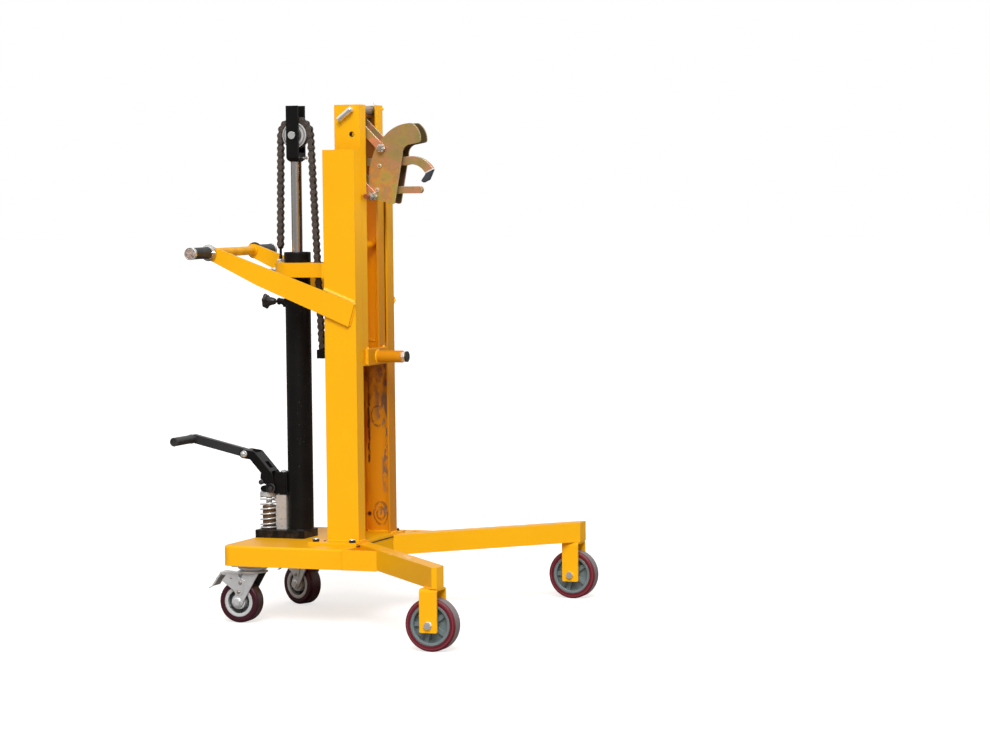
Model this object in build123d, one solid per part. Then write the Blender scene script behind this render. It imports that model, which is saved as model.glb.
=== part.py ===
"""Manual drum lifter: a hand-pumped mast truck on two splayed legs, with a beak that grips a drum's rim.

Millimetres, +Z up, +X towards the drum, +Y to the machine's left. Sizes are written about the middle
of the mast on the floor, and every piece is shifted at the end so that the origin is the middle of the
footprint. The lift is drawn fully raised.
"""
import os
from math import atan2, cos, degrees, hypot, pi, radians, sin, sqrt, tan

from build123d import *

# Fits shared by every piece
shaft_fit = 0.05       # radial play of a pin or shaft that turns or slides in its hole
weld_gap = 0.1         # radial room round a fixed pin, tube or stud in its hole
run_gap = 0.3          # room between faces that pass each other
side_gap = 0.5         # room beside a wheel, jaw or link

# Front wheels and their forks
front_wheel_d = 150.0
front_tyre_w = 44.0
front_tread_t = 16.0
front_hub_rim = 9.0
front_boss_d = 40.0
front_spokes = 5
front_spoke_turn = 36.0
front_spoke_w = 12.0
front_web_t = 6.0
front_axle_d = 12.0
front_axle_hex = 19.0
front_axle_head_h = 8.8
hub_inset = 2.0
front_axle_x = 459.5
half_track = 580.0
fork_gap = 60.0
fork_plate = 6.0
fork_len = 52.0
fork_below_axle = 20.5
fork_bend_r = 10.0
fork_corner_r = 4.0

# Rear casters
caster_wheel_d = 125.0
caster_tyre_w = 46.0
caster_tread_t = 17.5
caster_hub_rim = 8.0
caster_boss_d = 32.0
caster_web_t = 12.0
caster_axle_d = 12.0
caster_nut = 19.0
caster_nut_h = 6.0
caster_wheel_gap = 4.5
caster_x = -264.0
caster_half_span = 205.0
caster_trail = 38.0
left_caster_yaw = -22.0
caster_plate_len = 105.0
caster_plate_w = 90.0
caster_plate_t = 5.0
race_d = 64.0
race_h = 13.0
king_pin_d = 12.0
king_nut = 19.0
caster_leg_t = 4.0
caster_fork_top_t = 7.0
caster_leg_top_x = 7.0
caster_leg_top_w = 46.0
caster_leg_foot_d = 31.0
brake_hinge_x = -17.0
brake_hinge_d = 8.0
brake_boss_d = 13.6
brake_arm_t = 9.0
brake_half_w = 20.0
brake_slope = 6.0
brake_reach = 95.0
brake_pad_back = 26.0
brake_pad_drop = 37.0
brake_pad_t = 5.0
brake_pad_w = 46.0
brake_hinge_up = 12.5
brake_shoe_d = 8.0
brake_shoe_back = 21.0
brake_shoe_up = 1.3
king_nut_h = 5.0

# Base pan, legs and gussets
pan_bottom_z = 173.0
pan_h = 60.0
pan_rear_x = -335.0
pan_front_x = 60.0
pan_half_w = 270.0
pan_wall = 5.0
pan_corner_r = 30.0
pan_edge_r = 7.0
pan_front_r = 4.0
pan_caster_strip = 130.0
leg_h = 60.0
leg_rise = 3.0
leg_w = 46.0
leg_wall = 4.0
leg_angle = 47.9
leg_inset = 11.6
leg_past_fork = 1.5
gusset_t = 8.0
gusset_h = 59.0
gusset_proud = 3.0
gusset_lap = 8.0

# Fixed mast
mast_depth = 100.0
mast_flange = 50.0
mast_wall = 6.0
mast_half_w = 144.0
mast_h = 1147.0
foot_plate_t = 8.0
foot_plate_rear = 45.0
foot_plate_front = 10.0
foot_plate_side = 41.0
foot_bolt_d = 12.0
foot_bolt_head = 19.0
foot_bolt_head_h = 8.0
foot_bolt_rear_x = -78.0
foot_bolt_front_x = 38.0

# Lifting carriage
lift = 500.0
lowered_gap = 12.0
carriage_depth = 80.0
carriage_flange = 46.0
carriage_wall = 6.0
carriage_half_w = 87.0
carriage_h = 767.0
carriage_recess = 5.5
roller_w = 36.0
roller_web_gap = 4.0
roller_axle_d = 25.0
roller_shoulder_d = 33.0
upper_roller_below_top = 68.0
lower_roller_up = 47.0
cross_rod_d = 22.0
cross_rod_up = 355.0
cross_rod_x = 16.0
rear_tie_t = 8.0
rear_tie_h = 50.0
rear_tie_half_w = 80.0
crossbox_depth = 12.0
crossbox_half_w = 69.0
crossbox_h = 50.0
crossbox_edge_r = 3.0
stub_d = 36.0
stub_len = 80.0
bumper_bolt_d = 24.0
bumper_bolt_in = 32.0
bumper_hex = 30.0
bumper_hex_h = 11.0
bumper_pad_d = 32.0
bumper_pad_t = 5.0

# Height pin and the head that it locks in the carriage
height_pin_d = 16.0
height_pin_x = 20.0
height_pin_below_top = 15.0
pin_hole_step = 72.0
pin_stick_out = 6.0
pin_elbow_out = 13.0
pin_handle_len = 46.0
pin_handle_drop = 38.0
head_bar_t = 14.0
head_bar_top = 6.0
head_bar_bottom = 25.0
head_collar_d = 26.0
head_collar_len = 18.0
link_pin_d = 16.0
link_shoulder_d = 22.0

# Gripper linkage and beak
upper_link_pivot_x = 8.0
upper_link_pivot_below_pin = 31.0
link_len = 116.0
link_angle = -45.0
lower_link_back = 26.0
lower_link_below = 141.0
link_w = 23.0
link_t = 6.0
gripper_half_w = 27.0
gripper_plate_t = 6.0
gripper_bolt_d = 14.0
gripper_bolt_hex = 21.0
gripper_bolt_head = 8.0
lower_bolt_tail = 52.0
rivet_d = 12.0
rivet_head_d = 13.0
rivet_head_h = 3.0
beak_reach = 122.0
beak_top = 72.0
beak_under = 16.0
beak_crown_x = 97.0
beak_brow = (51.0, 65.0)
beak_nose_round = (115.0, 53.0)
neck_place = (8.0, 36.0)
throat_top = (90.0, 10.0)
throat_round = (71.0, 1.0)
throat_x = 64.0
throat_drop = 20.0
foot_front_x = 37.0
foot_rear_x = -30.0
foot_rear_rise = 19.0
gripper_drop = 166.0
rear_bulge = (-43.0, -101.0)
rear_shoulder = (-33.0, -32.0)
rear_brow = (-16.5, 7.0)
gripper_corner_r = 8.0
upper_jaw_pivot_x = -8.0
upper_jaw_pivot_drop = 52.0
lower_jaw_pivot_x = -17.0
lower_jaw_pivot_drop = 123.0
jaw_half_w = 8.0
jaw_bar_h = 21.0
jaw_tail = 48.0
jaw_straight = 76.0
hook_reach = 161.0
hook_rise = 4.0
jaw_lift = 1.0
hook_outer = (127.0, 20.0)
hook_inner = (113.0, -1.0)
hook_shoulder_drop = 11.0
hook_root_drop = 25.0
hook_tip_w = 24.0
hook_tip = ((122.6, -45.0), (129.8, -50.0), (146.6, -42.0))
jaw_boss_d = 24.0
lower_jaw_reach = 124.0

# Lifting ram
ram_x = -200.0
ram_base_rear = 129.0
ram_base_front = 32.0
ram_base_half_w = 53.0
ram_base_h = 23.0
ram_base_chamfer = 4.0
ram_tube_d = 76.0
ram_tube_h = 800.0
ram_bore_d = 60.0
gland_d = 80.0
gland_h = 30.0
gland_chamfer = 3.0
rod_d = 32.0
rod_left_out = 20.0
piston_h = 40.0
piston_below_gland = 520.0
clevis_w = 38.0
clevis_half_w = 28.0
clevis_plate = 8.0
clevis_h = 166.0
clevis_base_h = 26.0
clevis_chamfer = 12.0
sheave_up = 78.5
sheave_w = 36.0
sheave_rim_w = 24.0
sheave_boss_d = 44.0
sheave_pin_d = 20.0
sheave_pin_head_d = 23.0
sheave_pin_head_h = 4.0
bracket_half_w = 66.0
bracket_h = 43.0
bracket_bar = 18.0
bracket_front_wall = 10.0
bracket_tie_t = 8.0
nipple_hex = 13.0
nipple_hex_len = 10.0
nipple_d = 6.0
nipple_len = 14.0

# Lifting chain
chain_pitch = 19.05
chain_plate_h = 18.0
chain_waist_h = 12.0
chain_half_w = 12.0
chain_roller_d = 11.9
chain_pin_d = 6.0
wrap_links = 8
rear_links = 17
rear_run_lean = 6.0
front_run_lean = 28.0
lower_anchor_up = 53.235
anchor_stud_d = 12.0
anchor_tongue_w = 16.0
anchor_nut = 19.0
anchor_nut_h = 10.0
lower_anchor_half_w = 15.0
lower_anchor_h = 26.0
lower_anchor_rear = 11.0
anchor_chain_gap = 1.0

# Hand pump and its lever
pump_x = -305.0
spring_d = 56.0
spring_wire = 5.0
spring_turns = 7
spring_h = 98.0
sleeve_d = 40.0
sleeve_h = 69.0
plunger_d = 18.0
cap_d = 54.0
cap_h = 15.0
cap_chamfer = 3.0
pump_block_len = 34.0
pump_block_half_w = 22.0
pump_block_h = 103.5
pump_block_gap = 1.0
pump_block_r = 4.0
lever_pivot_x = -285.0
lever_pin_d = 14.0
lever_boss_d = 27.0
lever_pin_end = 2.0
lever_pin_head_d = 20.0
lever_pin_head_h = 5.0
lever_bracket_boss_d = 23.0
lever_roller_d = 18.0
lever_roller_back = 25.0
lever_roller_below = 5.0
bracket_plate_in = 17.0
bracket_plate_t = 6.5
bracket_plate_rise = 46.0
bracket_plate_drop = 20.8
ear_t = 6.0
elbow_back = 11.0
elbow_rise = 38.0
socket_web_t = 6.0
knee_back = 61.0
knee_rise = 94.0
socket_w = 26.0
arm_bolt_back = 90.0
arm_bolt_rise = 98.0
arm_bolt_d = 12.0
arm_bolt_hex = 18.5
arm_bolt_head_h = 6.0
arm_h = 26.0
arm_half_w = 9.0
lever_tip_x = -551.0
lever_tip_rise = 139.0
lever_grip_d = 26.0
lever_rod_d = 18.0
lever_grip_len = 118.0
lever_grip_start = 20.0
lever_grip_end_t = 2.0

# Release valve
valve_below_gland = 116.0
valve_end_wall = 6.0
valve_stub_d = 17.0
valve_stub_len = 26.0
knob_d = 48.0
knob_t = 18.0
knob_cone_len = 16.0
knob_cone_d = 34.0
knob_collar_d = 18.0
knob_lobes = 6
knob_lobe_d = 15.0
knob_spindle_d = 10.0
knob_neck = 30.0

# Push handle
handle_x = -416.0
handle_up = 856.0
handle_arm_t = 10.0
handle_arm_end_h = 40.0
handle_arm_root_h = 72.0
handle_root_up = 691.0
handle_cut_back = 20.7
handle_cut_h = 68.0
handle_kink_x = -262.0
crossbar_d = 27.0
grip_d = 34.0
grip_len = 106.0
grip_cap_d = 37.0
grip_cap_t = 11.0
grip_collar_d = 47.0
grip_collar_t = 10.0

# Levels and places that follow from the sizes above
deck_z = pan_bottom_z + pan_h
mast_bottom_z = deck_z + foot_plate_t
mast_top_z = mast_bottom_z + mast_h
mast_inner_y = mast_half_w - mast_wall
carriage_front_x = mast_depth / 2 - carriage_recess
carriage_rear_x = carriage_front_x - carriage_depth
carriage_z = mast_bottom_z + lowered_gap + lift
carriage_top_z = carriage_z + carriage_h
ram_base_top_z = deck_z + ram_base_h
gland_z = ram_base_top_z + ram_tube_h
gland_top_z = gland_z + gland_h
clevis_z = gland_top_z + rod_left_out + lift / 2
sheave_z = clevis_z + sheave_up
chain_r = wrap_links * chain_pitch / pi
bracket_z = gland_z - bracket_h
pin_z = carriage_top_z - height_pin_below_top
roller_z = ram_base_top_z + spring_h + cap_h + run_gap + lever_roller_d / 2
lever_pivot_z = roller_z + lever_roller_below
handle_z = deck_z + handle_up
front_axle_z = front_wheel_d / 2
caster_axle_z = caster_wheel_d / 2
fork_half_w = fork_gap / 2 + fork_plate
middle_x = (front_axle_x + front_wheel_d / 2 + lever_tip_x - lever_grip_d / 2) / 2


# Building helpers
def block(x_low, x_high, y_low, y_high, z_low, z_high):
    """A rectangular solid between two opposite corners."""
    size = Box(x_high - x_low, y_high - y_low, z_high - z_low)
    return Pos((x_low + x_high) / 2, (y_low + y_high) / 2, (z_low + z_high) / 2) * size


def rod_x(diameter, x_low, x_high, y, z):
    """A round bar along X."""
    return Pos((x_low + x_high) / 2, y, z) * Rot(0, 90, 0) * Cylinder(diameter / 2, x_high - x_low)


def rod_y(diameter, x, y_low, y_high, z):
    """A round bar along Y."""
    return Pos(x, (y_low + y_high) / 2, z) * Rot(90, 0, 0) * Cylinder(diameter / 2, y_high - y_low)


def rod_z(diameter, x, y, z_low, z_high):
    """A round bar along Z."""
    return Pos(x, y, (z_low + z_high) / 2) * Cylinder(diameter / 2, z_high - z_low)


def hex_y(across_flats, x, y_low, y_high, z):
    """A hexagonal head along Y."""
    outline = Plane.XZ * RegularPolygon(across_flats / 2, 6, major_radius=False)
    return Pos(x, y_high, z) * extrude(outline, y_high - y_low)


def hex_z(across_flats, x, y, z_low, z_high):
    """A hexagonal head along Z."""
    return Pos(x, y, z_low) * extrude(RegularPolygon(across_flats / 2, 6, major_radius=False), z_high - z_low)


def hex_x(across_flats, x_low, x_high, y, z):
    """A hexagonal head along X."""
    outline = Plane.YZ * RegularPolygon(across_flats / 2, 6, major_radius=False)
    return Pos(x_low, y, z) * extrude(outline, x_high - x_low)


def plate_y(outline, y_low, y_high):
    """A flat plate whose XZ outline is carried from one Y to another."""
    return Pos(0, y_high, 0) * extrude(Plane.XZ * outline, y_high - y_low)


def slot_between(start, end, width):
    """A flat outline with round ends between two points."""
    run = hypot(end[0] - start[0], end[1] - start[1])
    turn = degrees(atan2(end[1] - start[1], end[0] - start[0]))
    middle = Pos((start[0] + end[0]) / 2, (start[1] + end[1]) / 2)
    return middle * Rot(0, 0, turn) * SlotCenterToCenter(run, width)


def outline_of(points):
    """A closed flat outline through corner points."""
    return make_face(Polyline(*points, close=True))


def both_sides(shape):
    """A right-hand piece and its mirror image on the left."""
    return [shape, mirror(shape, about=Plane.XZ)]


nodes = {}


# Base pan: a folded tray, open below, with a strip across the back that carries the casters
def make_base_pan():
    middle = (pan_rear_x + pan_front_x) / 2
    length = pan_front_x - pan_rear_x
    tray = block(pan_rear_x, pan_front_x, -pan_half_w, pan_half_w, pan_bottom_z, deck_z)
    rear_corners = tray.edges().filter_by(Axis.Z).group_by(Axis.X)[0]
    tray = fillet(rear_corners, pan_corner_r)
    top_edges = tray.faces().sort_by(Axis.Z)[-1].edges()
    back_and_sides = top_edges.filter_by(lambda edge: edge.center().X < pan_front_x - pan_wall)
    tray = fillet(back_and_sides, pan_edge_r)
    front_edge = tray.edges().filter_by(Axis.Y).group_by(Axis.X)[-1].sort_by(Axis.Z)[-1]
    tray = fillet(front_edge, pan_front_r)
    hollow = Pos(middle, 0, pan_bottom_z + pan_h / 2 - pan_wall) * Box(
        length - 2 * pan_wall, 2 * (pan_half_w - pan_wall), pan_h)
    hollow = fillet(hollow.edges().filter_by(Axis.Z), pan_corner_r - pan_wall)
    strip = block(
        pan_rear_x + pan_wall / 2, pan_rear_x + pan_caster_strip, -pan_half_w + pan_wall / 2,
        pan_half_w - pan_wall / 2, pan_bottom_z, pan_bottom_z + pan_wall)
    strip = fillet(strip.edges().filter_by(Axis.Z).group_by(Axis.X)[0], pan_corner_r - pan_wall / 2)
    return tray - hollow + strip


nodes["base_pan"] = make_base_pan()


# Legs: square-cut tubes from the pan's front out to the front forks
leg_slope = tan(radians(leg_angle))
leg_across = leg_w / 2 / cos(radians(leg_angle))
leg_end_x = front_axle_x + fork_len / 2 + leg_past_fork
leg_end_y = half_track + fork_half_w
leg_axle_y = half_track - leg_inset
leg_z = pan_bottom_z + leg_rise


def leg_plan(half_width, start_x):
    """The right leg's plan outline, cut at the pan and at the fork's outer corner."""
    across = half_width / cos(radians(leg_angle))

    def middle_y(x):
        return -(leg_axle_y + (x - front_axle_x) * leg_slope)

    corner_x = front_axle_x + (leg_end_y - leg_axle_y - across) / leg_slope
    return outline_of([
        (start_x, middle_y(start_x) + across), (start_x, middle_y(start_x) - across),
        (corner_x, -leg_end_y), (leg_end_x, -leg_end_y), (leg_end_x, middle_y(leg_end_x) + across)])


def make_right_leg():
    tube = Pos(0, 0, leg_z) * extrude(leg_plan(leg_w / 2, pan_front_x), leg_h)
    inside = leg_plan(leg_w / 2 - leg_wall, pan_front_x)
    bore = Pos(0, 0, leg_z + leg_wall) * extrude(inside, leg_h - 2 * leg_wall)
    bore = bore & block(
        pan_front_x - 1, leg_end_x - leg_wall, -leg_end_y + leg_wall, 0, leg_z, leg_z + leg_h)
    return tube - bore


nodes["right_leg"], nodes["left_leg"] = both_sides(make_right_leg())


# Gussets: side plates that lap over the pan's sides and carry them on to the legs
def leg_outer_x(y):
    """Where the leg's outer face meets a plane at this distance from the middle."""
    return front_axle_x + (y - leg_axle_y - leg_across) / leg_slope


def make_gussets():
    outer_y = pan_half_w + gusset_proud
    inner_y = outer_y - gusset_t
    lap_x = pan_front_x - gusset_lap
    plan = outline_of([
        (pan_front_x, -inner_y), (leg_outer_x(inner_y), -inner_y), (leg_outer_x(outer_y), -outer_y),
        (lap_x, -outer_y), (lap_x, -pan_half_w), (pan_front_x, -pan_half_w)])
    return both_sides(Pos(0, 0, pan_bottom_z) * extrude(plan, gusset_h))


nodes["leg_gussets"] = make_gussets()


# Front forks: bent plates under the leg ends
def make_fork():
    bottom_z = front_axle_z - fork_below_axle
    shell = block(
        front_axle_x - fork_len / 2, front_axle_x + fork_len / 2, -half_track - fork_half_w,
        -half_track + fork_half_w, bottom_z, leg_z)
    shell = fillet(shell.edges().filter_by(Axis.X).group_by(Axis.Z)[-1], fork_bend_r)
    shell = fillet(shell.edges().filter_by(Axis.Y).group_by(Axis.Z)[0], fork_corner_r)
    room = block(
        front_axle_x - fork_len, front_axle_x + fork_len, -half_track - fork_gap / 2,
        -half_track + fork_gap / 2, bottom_z - fork_plate, leg_z - fork_plate)
    room = fillet(room.edges().filter_by(Axis.X).group_by(Axis.Z)[-1], fork_bend_r - fork_plate)
    hole = rod_y(
        front_axle_d + 2 * weld_gap, front_axle_x, -half_track - fork_half_w, -half_track + fork_half_w,
        front_axle_z)
    return shell - room - hole


nodes["wheel_forks"] = both_sides(make_fork())


# Front wheels: a tread ring bonded to a spoked hub
def wheel_tyre(outer_d, width, tread_t):
    ring = Cylinder(outer_d / 2, width) - Cylinder(outer_d / 2 - tread_t, width)
    return fillet(ring.edges().filter_by(GeomType.CIRCLE).group_by(SortBy.RADIUS)[-1], width / 6)


def make_front_hub():
    rim_r = front_wheel_d / 2 - front_tread_t
    boss_w = fork_gap - 2 * side_gap
    hub = Cylinder(rim_r, front_tyre_w - 2 * hub_inset) - Cylinder(rim_r - front_hub_rim, front_tyre_w)
    hub += Cylinder(front_boss_d / 2, boss_w)
    spoke = Pos(rim_r / 2, 0, 0) * Box(rim_r - front_hub_rim / 2, front_spoke_w, front_tyre_w / 2)
    hub += Cylinder(rim_r - front_hub_rim / 2, front_web_t)
    for index in range(front_spokes):
        hub += Rot(0, 0, front_spoke_turn + 360 / front_spokes * index) * spoke
    return hub - Cylinder(front_axle_d / 2 + shaft_fit, boss_w)


front_place = Pos(front_axle_x, -half_track, front_axle_z) * Rot(90, 0, 0)
front_tyre = front_place * wheel_tyre(front_wheel_d, front_tyre_w, front_tread_t)
front_hub = front_place * make_front_hub()
nodes["right_front_tyre"], nodes["left_front_tyre"] = both_sides(front_tyre)
nodes["right_front_hub"], nodes["left_front_hub"] = both_sides(front_hub)


# Casters: a fixed top plate with its race and king pin, a swivelling fork, a wheel and a foot brake
caster_plate_z = pan_bottom_z - caster_plate_t
race_z = caster_plate_z - race_h
fork_top_z = race_z - run_gap
fork_disc_z = fork_top_z - caster_fork_top_t
caster_leg_in = caster_tyre_w / 2 + caster_wheel_gap
caster_leg_out = caster_leg_in + caster_leg_t
brake_hinge_z = caster_wheel_d + brake_hinge_up


def make_caster_plate():
    plate = block(
        -caster_plate_len / 2, caster_plate_len / 2, -caster_plate_w / 2, caster_plate_w / 2,
        caster_plate_z, pan_bottom_z)
    plate = fillet(plate.edges().filter_by(Axis.Z), caster_plate_t * 2)
    plate += rod_z(race_d, 0, 0, race_z, caster_plate_z)
    plate += rod_z(king_pin_d, 0, 0, fork_disc_z - king_nut_h - run_gap, race_z)
    plate += hex_z(king_nut, 0, 0, fork_disc_z - king_nut_h - run_gap, fork_disc_z - run_gap)
    return plate


def make_caster_fork():
    disc = rod_z(race_d, 0, 0, fork_disc_z, fork_top_z)
    disc -= rod_z(king_pin_d + 2 * shaft_fit, 0, 0, fork_disc_z, fork_top_z)
    top = Pos(caster_leg_top_x, fork_disc_z + caster_fork_top_t / 4) * Rectangle(
        caster_leg_top_w, caster_fork_top_t / 2)
    foot = Pos(-caster_trail, caster_axle_z) * Circle(caster_leg_foot_d / 2)
    leg = plate_y(make_hull(top.edges() + foot.edges()), -caster_leg_out, -caster_leg_in)
    fork = disc + leg + mirror(leg, about=Plane.XZ)
    nut_y = caster_leg_out + caster_nut_h
    fork += rod_y(caster_axle_d, -caster_trail, -nut_y, nut_y, caster_axle_z)
    for low, high in ((-nut_y, -caster_leg_out), (caster_leg_out, nut_y)):
        fork += hex_y(caster_nut, -caster_trail, low, high, caster_axle_z)
    fork += rod_y(brake_hinge_d, brake_hinge_x, -caster_leg_out, caster_leg_out, brake_hinge_z)
    return fork


def make_caster_hub():
    rim_r = caster_wheel_d / 2 - caster_tread_t
    boss_w = 2 * (caster_leg_in - side_gap)
    hub = Cylinder(rim_r, caster_tyre_w - 2 * hub_inset) - Cylinder(rim_r - caster_hub_rim, caster_tyre_w)
    hub += Cylinder(rim_r - caster_hub_rim / 2, caster_web_t)
    hub += Cylinder(caster_boss_d / 2, boss_w)
    hub -= Cylinder(caster_axle_d / 2 + shaft_fit, boss_w)
    return Pos(-caster_trail, 0, caster_axle_z) * Rot(90, 0, 0) * hub


def make_caster_tyre():
    tyre = wheel_tyre(caster_wheel_d, caster_tyre_w, caster_tread_t)
    return Pos(-caster_trail, 0, caster_axle_z) * Rot(90, 0, 0) * tyre


def make_caster_brake():
    rise = tan(radians(brake_slope))
    tip = (-brake_reach, brake_hinge_z + (brake_reach + brake_hinge_x) * rise)
    arm = plate_y(slot_between((brake_hinge_x, brake_hinge_z), tip, brake_arm_t), -brake_half_w, brake_half_w)
    arm += rod_y(brake_boss_d, brake_hinge_x, -brake_half_w, brake_half_w, brake_hinge_z)
    pad = slot_between(tip, (tip[0] - brake_pad_back, tip[1] - brake_pad_drop), brake_pad_t)
    arm += plate_y(pad, -brake_pad_w / 2, brake_pad_w / 2)
    arm += rod_y(
        brake_shoe_d, brake_hinge_x - brake_shoe_back, -brake_half_w, brake_half_w,
        brake_hinge_z + brake_shoe_up)
    return arm - rod_y(
        brake_hinge_d + 2 * shaft_fit, brake_hinge_x, -brake_half_w, brake_half_w, brake_hinge_z)


right_caster = Pos(caster_x, -caster_half_span, 0)
left_caster = Pos(caster_x, caster_half_span, 0)
left_turned = left_caster * Rot(0, 0, left_caster_yaw)
nodes["caster_plates"] = [right_caster * make_caster_plate(), left_caster * make_caster_plate()]
for caster_name, caster_place in (("right", right_caster), ("left", left_turned)):
    nodes[caster_name + "_caster_fork"] = caster_place * make_caster_fork()
    nodes[caster_name + "_caster_tyre"] = caster_place * make_caster_tyre()
    nodes[caster_name + "_caster_hub"] = caster_place * make_caster_hub()
    nodes[caster_name + "_caster_brake"] = caster_place * make_caster_brake()


# Fixed mast: two channels face to face on a bolted foot plate
def channel(x_low, x_high, half_width, flange, wall, z_low, z_high):
    """A right-hand channel with its web outside and its flanges pointing to the middle."""
    shell = block(x_low, x_high, -half_width, -half_width + flange, z_low, z_high)
    return shell - block(x_low + wall, x_high - wall, -half_width + wall, 0, z_low, z_high)


foot_bolts = [(x, y) for x in (foot_bolt_rear_x, foot_bolt_front_x)
              for y in (-mast_half_w - foot_plate_side / 2, mast_half_w + foot_plate_side / 2)]
foot_half_w = mast_half_w + foot_plate_side
foot_plate = block(
    -mast_depth / 2 - foot_plate_rear, mast_depth / 2 + foot_plate_front, -foot_half_w, foot_half_w,
    deck_z, mast_bottom_z)
for bolt_x, bolt_y in foot_bolts:
    foot_plate -= rod_z(foot_bolt_d + 2 * weld_gap, bolt_x, bolt_y, deck_z, mast_bottom_z)
nodes["mast_foot_plate"] = foot_plate
nodes["mast_channels"] = both_sides(channel(
    -mast_depth / 2, mast_depth / 2, mast_half_w, mast_flange, mast_wall, mast_bottom_z, mast_top_z))


# Ram bracket: a collar round the ram with two bars and a tie plate on the mast's back
def make_bracket():
    top_z = bracket_z + bracket_h
    back_x = -mast_depth / 2
    body = block(ram_x, back_x, -bracket_half_w, bracket_half_w, bracket_z, top_z)
    body += rod_z(2 * bracket_half_w, ram_x, 0, bracket_z, top_z)
    slot_x = ram_x + ram_tube_d / 2 + bracket_front_wall
    slot_half_w = bracket_half_w - bracket_bar
    body -= block(slot_x, back_x, -slot_half_w, slot_half_w, bracket_z, top_z)
    body += block(back_x - bracket_tie_t, back_x, -mast_half_w, mast_half_w, bracket_z, top_z)
    body -= rod_z(ram_tube_d + 2 * weld_gap, ram_x, 0, bracket_z, top_z)
    body -= rod_z(anchor_stud_d + 2 * weld_gap, ram_x - chain_r - rear_run_lean, 0, bracket_z, top_z)
    return body


nodes["cylinder_bracket"] = make_bracket()


# Push handle: two arms on the mast's sides, a crossbar through them, and grips outside
arm_outer_y = mast_half_w + handle_arm_t
grip_start_y = arm_outer_y + grip_collar_t
grip_end_y = grip_start_y + grip_len
bar_end_y = grip_end_y + grip_cap_t / 2


def make_handle_arm():
    root_z = deck_z + handle_root_up
    end_half = handle_arm_end_h / 2
    run = hypot(handle_x, handle_z - root_z)
    lean = (handle_z - root_z) / -handle_x
    front_x = mast_depth / 2
    top_front = root_z + handle_arm_root_h / 2 - front_x * lean
    arm = outline_of([
        (handle_x + end_half * (handle_z - root_z) / run, handle_z - end_half * handle_x / run),
        (front_x, top_front), (front_x - handle_cut_back, top_front - handle_cut_h),
        (handle_kink_x, root_z - handle_kink_x * lean - handle_arm_root_h / 2),
        (handle_x - end_half * (handle_z - root_z) / run, handle_z + end_half * handle_x / run)])
    arm += Pos(handle_x, handle_z) * Circle(end_half)
    arm -= Pos(handle_x, handle_z) * Circle(crossbar_d / 2 + weld_gap)
    return plate_y(arm, -arm_outer_y, -mast_half_w)


def grip_ring(outer_d, low, high):
    ring = rod_y(outer_d, handle_x, low, high, handle_z)
    return ring - rod_y(crossbar_d + 2 * weld_gap, handle_x, low, high, handle_z)


grip_cap = rod_y(grip_cap_d, handle_x, -grip_end_y - grip_cap_t, -grip_end_y, handle_z)
grip_cap -= rod_y(crossbar_d + 2 * weld_gap, handle_x, -bar_end_y - weld_gap, -grip_end_y, handle_z)
nodes["handle_arms"] = both_sides(make_handle_arm())
nodes["handle_crossbar"] = rod_y(crossbar_d, handle_x, -bar_end_y, bar_end_y, handle_z)
nodes["handle_grips"] = both_sides(grip_ring(grip_d, -grip_end_y, -grip_start_y))
nodes["grip_caps_and_collars"] = both_sides(grip_cap) + both_sides(
    grip_ring(grip_collar_d, -grip_start_y, -arm_outer_y))


# Ram: base block, tube with the release valve's stub, and gland nut
valve_z = gland_z - valve_below_gland
stub_end_x = ram_x - ram_tube_d / 2 - valve_stub_len
ram_base = block(
    ram_x - ram_base_rear, ram_x + ram_base_front, -ram_base_half_w, ram_base_half_w, deck_z, ram_base_top_z)
nodes["cylinder_base"] = chamfer(ram_base.edges().filter_by(Axis.Z), ram_base_chamfer)
ram_tube = rod_z(ram_tube_d, ram_x, 0, ram_base_top_z, gland_z)
ram_tube += rod_x(valve_stub_d, stub_end_x, ram_x, 0, valve_z)
ram_tube -= rod_z(ram_bore_d, ram_x, 0, ram_base_top_z, gland_z)
spindle_in = valve_stub_len - valve_end_wall
ram_tube -= rod_x(knob_spindle_d + 2 * shaft_fit, stub_end_x, stub_end_x + spindle_in + run_gap, 0, valve_z)
nodes["cylinder_tube"] = ram_tube
gland = rod_z(gland_d, ram_x, 0, gland_z, gland_top_z)
gland = chamfer(gland.edges().filter_by(GeomType.CIRCLE).group_by(Axis.Z)[-1], gland_chamfer)
nodes["gland_nut"] = gland - rod_z(rod_d + 2 * shaft_fit, ram_x, 0, gland_z, gland_top_z)


# Piston rod, clevis, sheave and sheave pin
piston_z = gland_z - piston_below_gland
rod = rod_z(rod_d, ram_x, 0, piston_z, clevis_z)
nodes["piston_rod"] = rod + rod_z(ram_bore_d - 2 * shaft_fit, ram_x, 0, piston_z, piston_z + piston_h)


def make_clevis():
    inner = clevis_half_w - clevis_plate
    body = block(
        ram_x - clevis_w / 2, ram_x + clevis_w / 2, -clevis_half_w, clevis_half_w, clevis_z,
        clevis_z + clevis_h)
    body = chamfer(body.edges().filter_by(Axis.X).group_by(Axis.Z)[0], clevis_chamfer)
    body = chamfer(body.edges().filter_by(Axis.Y).group_by(Axis.Z)[0], clevis_chamfer / 2)
    body -= block(
        ram_x - clevis_w, ram_x + clevis_w, -inner, inner, clevis_z + clevis_base_h, clevis_z + clevis_h)
    return body - rod_y(sheave_pin_d + 2 * weld_gap, ram_x, -clevis_half_w, clevis_half_w, sheave_z)


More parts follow.
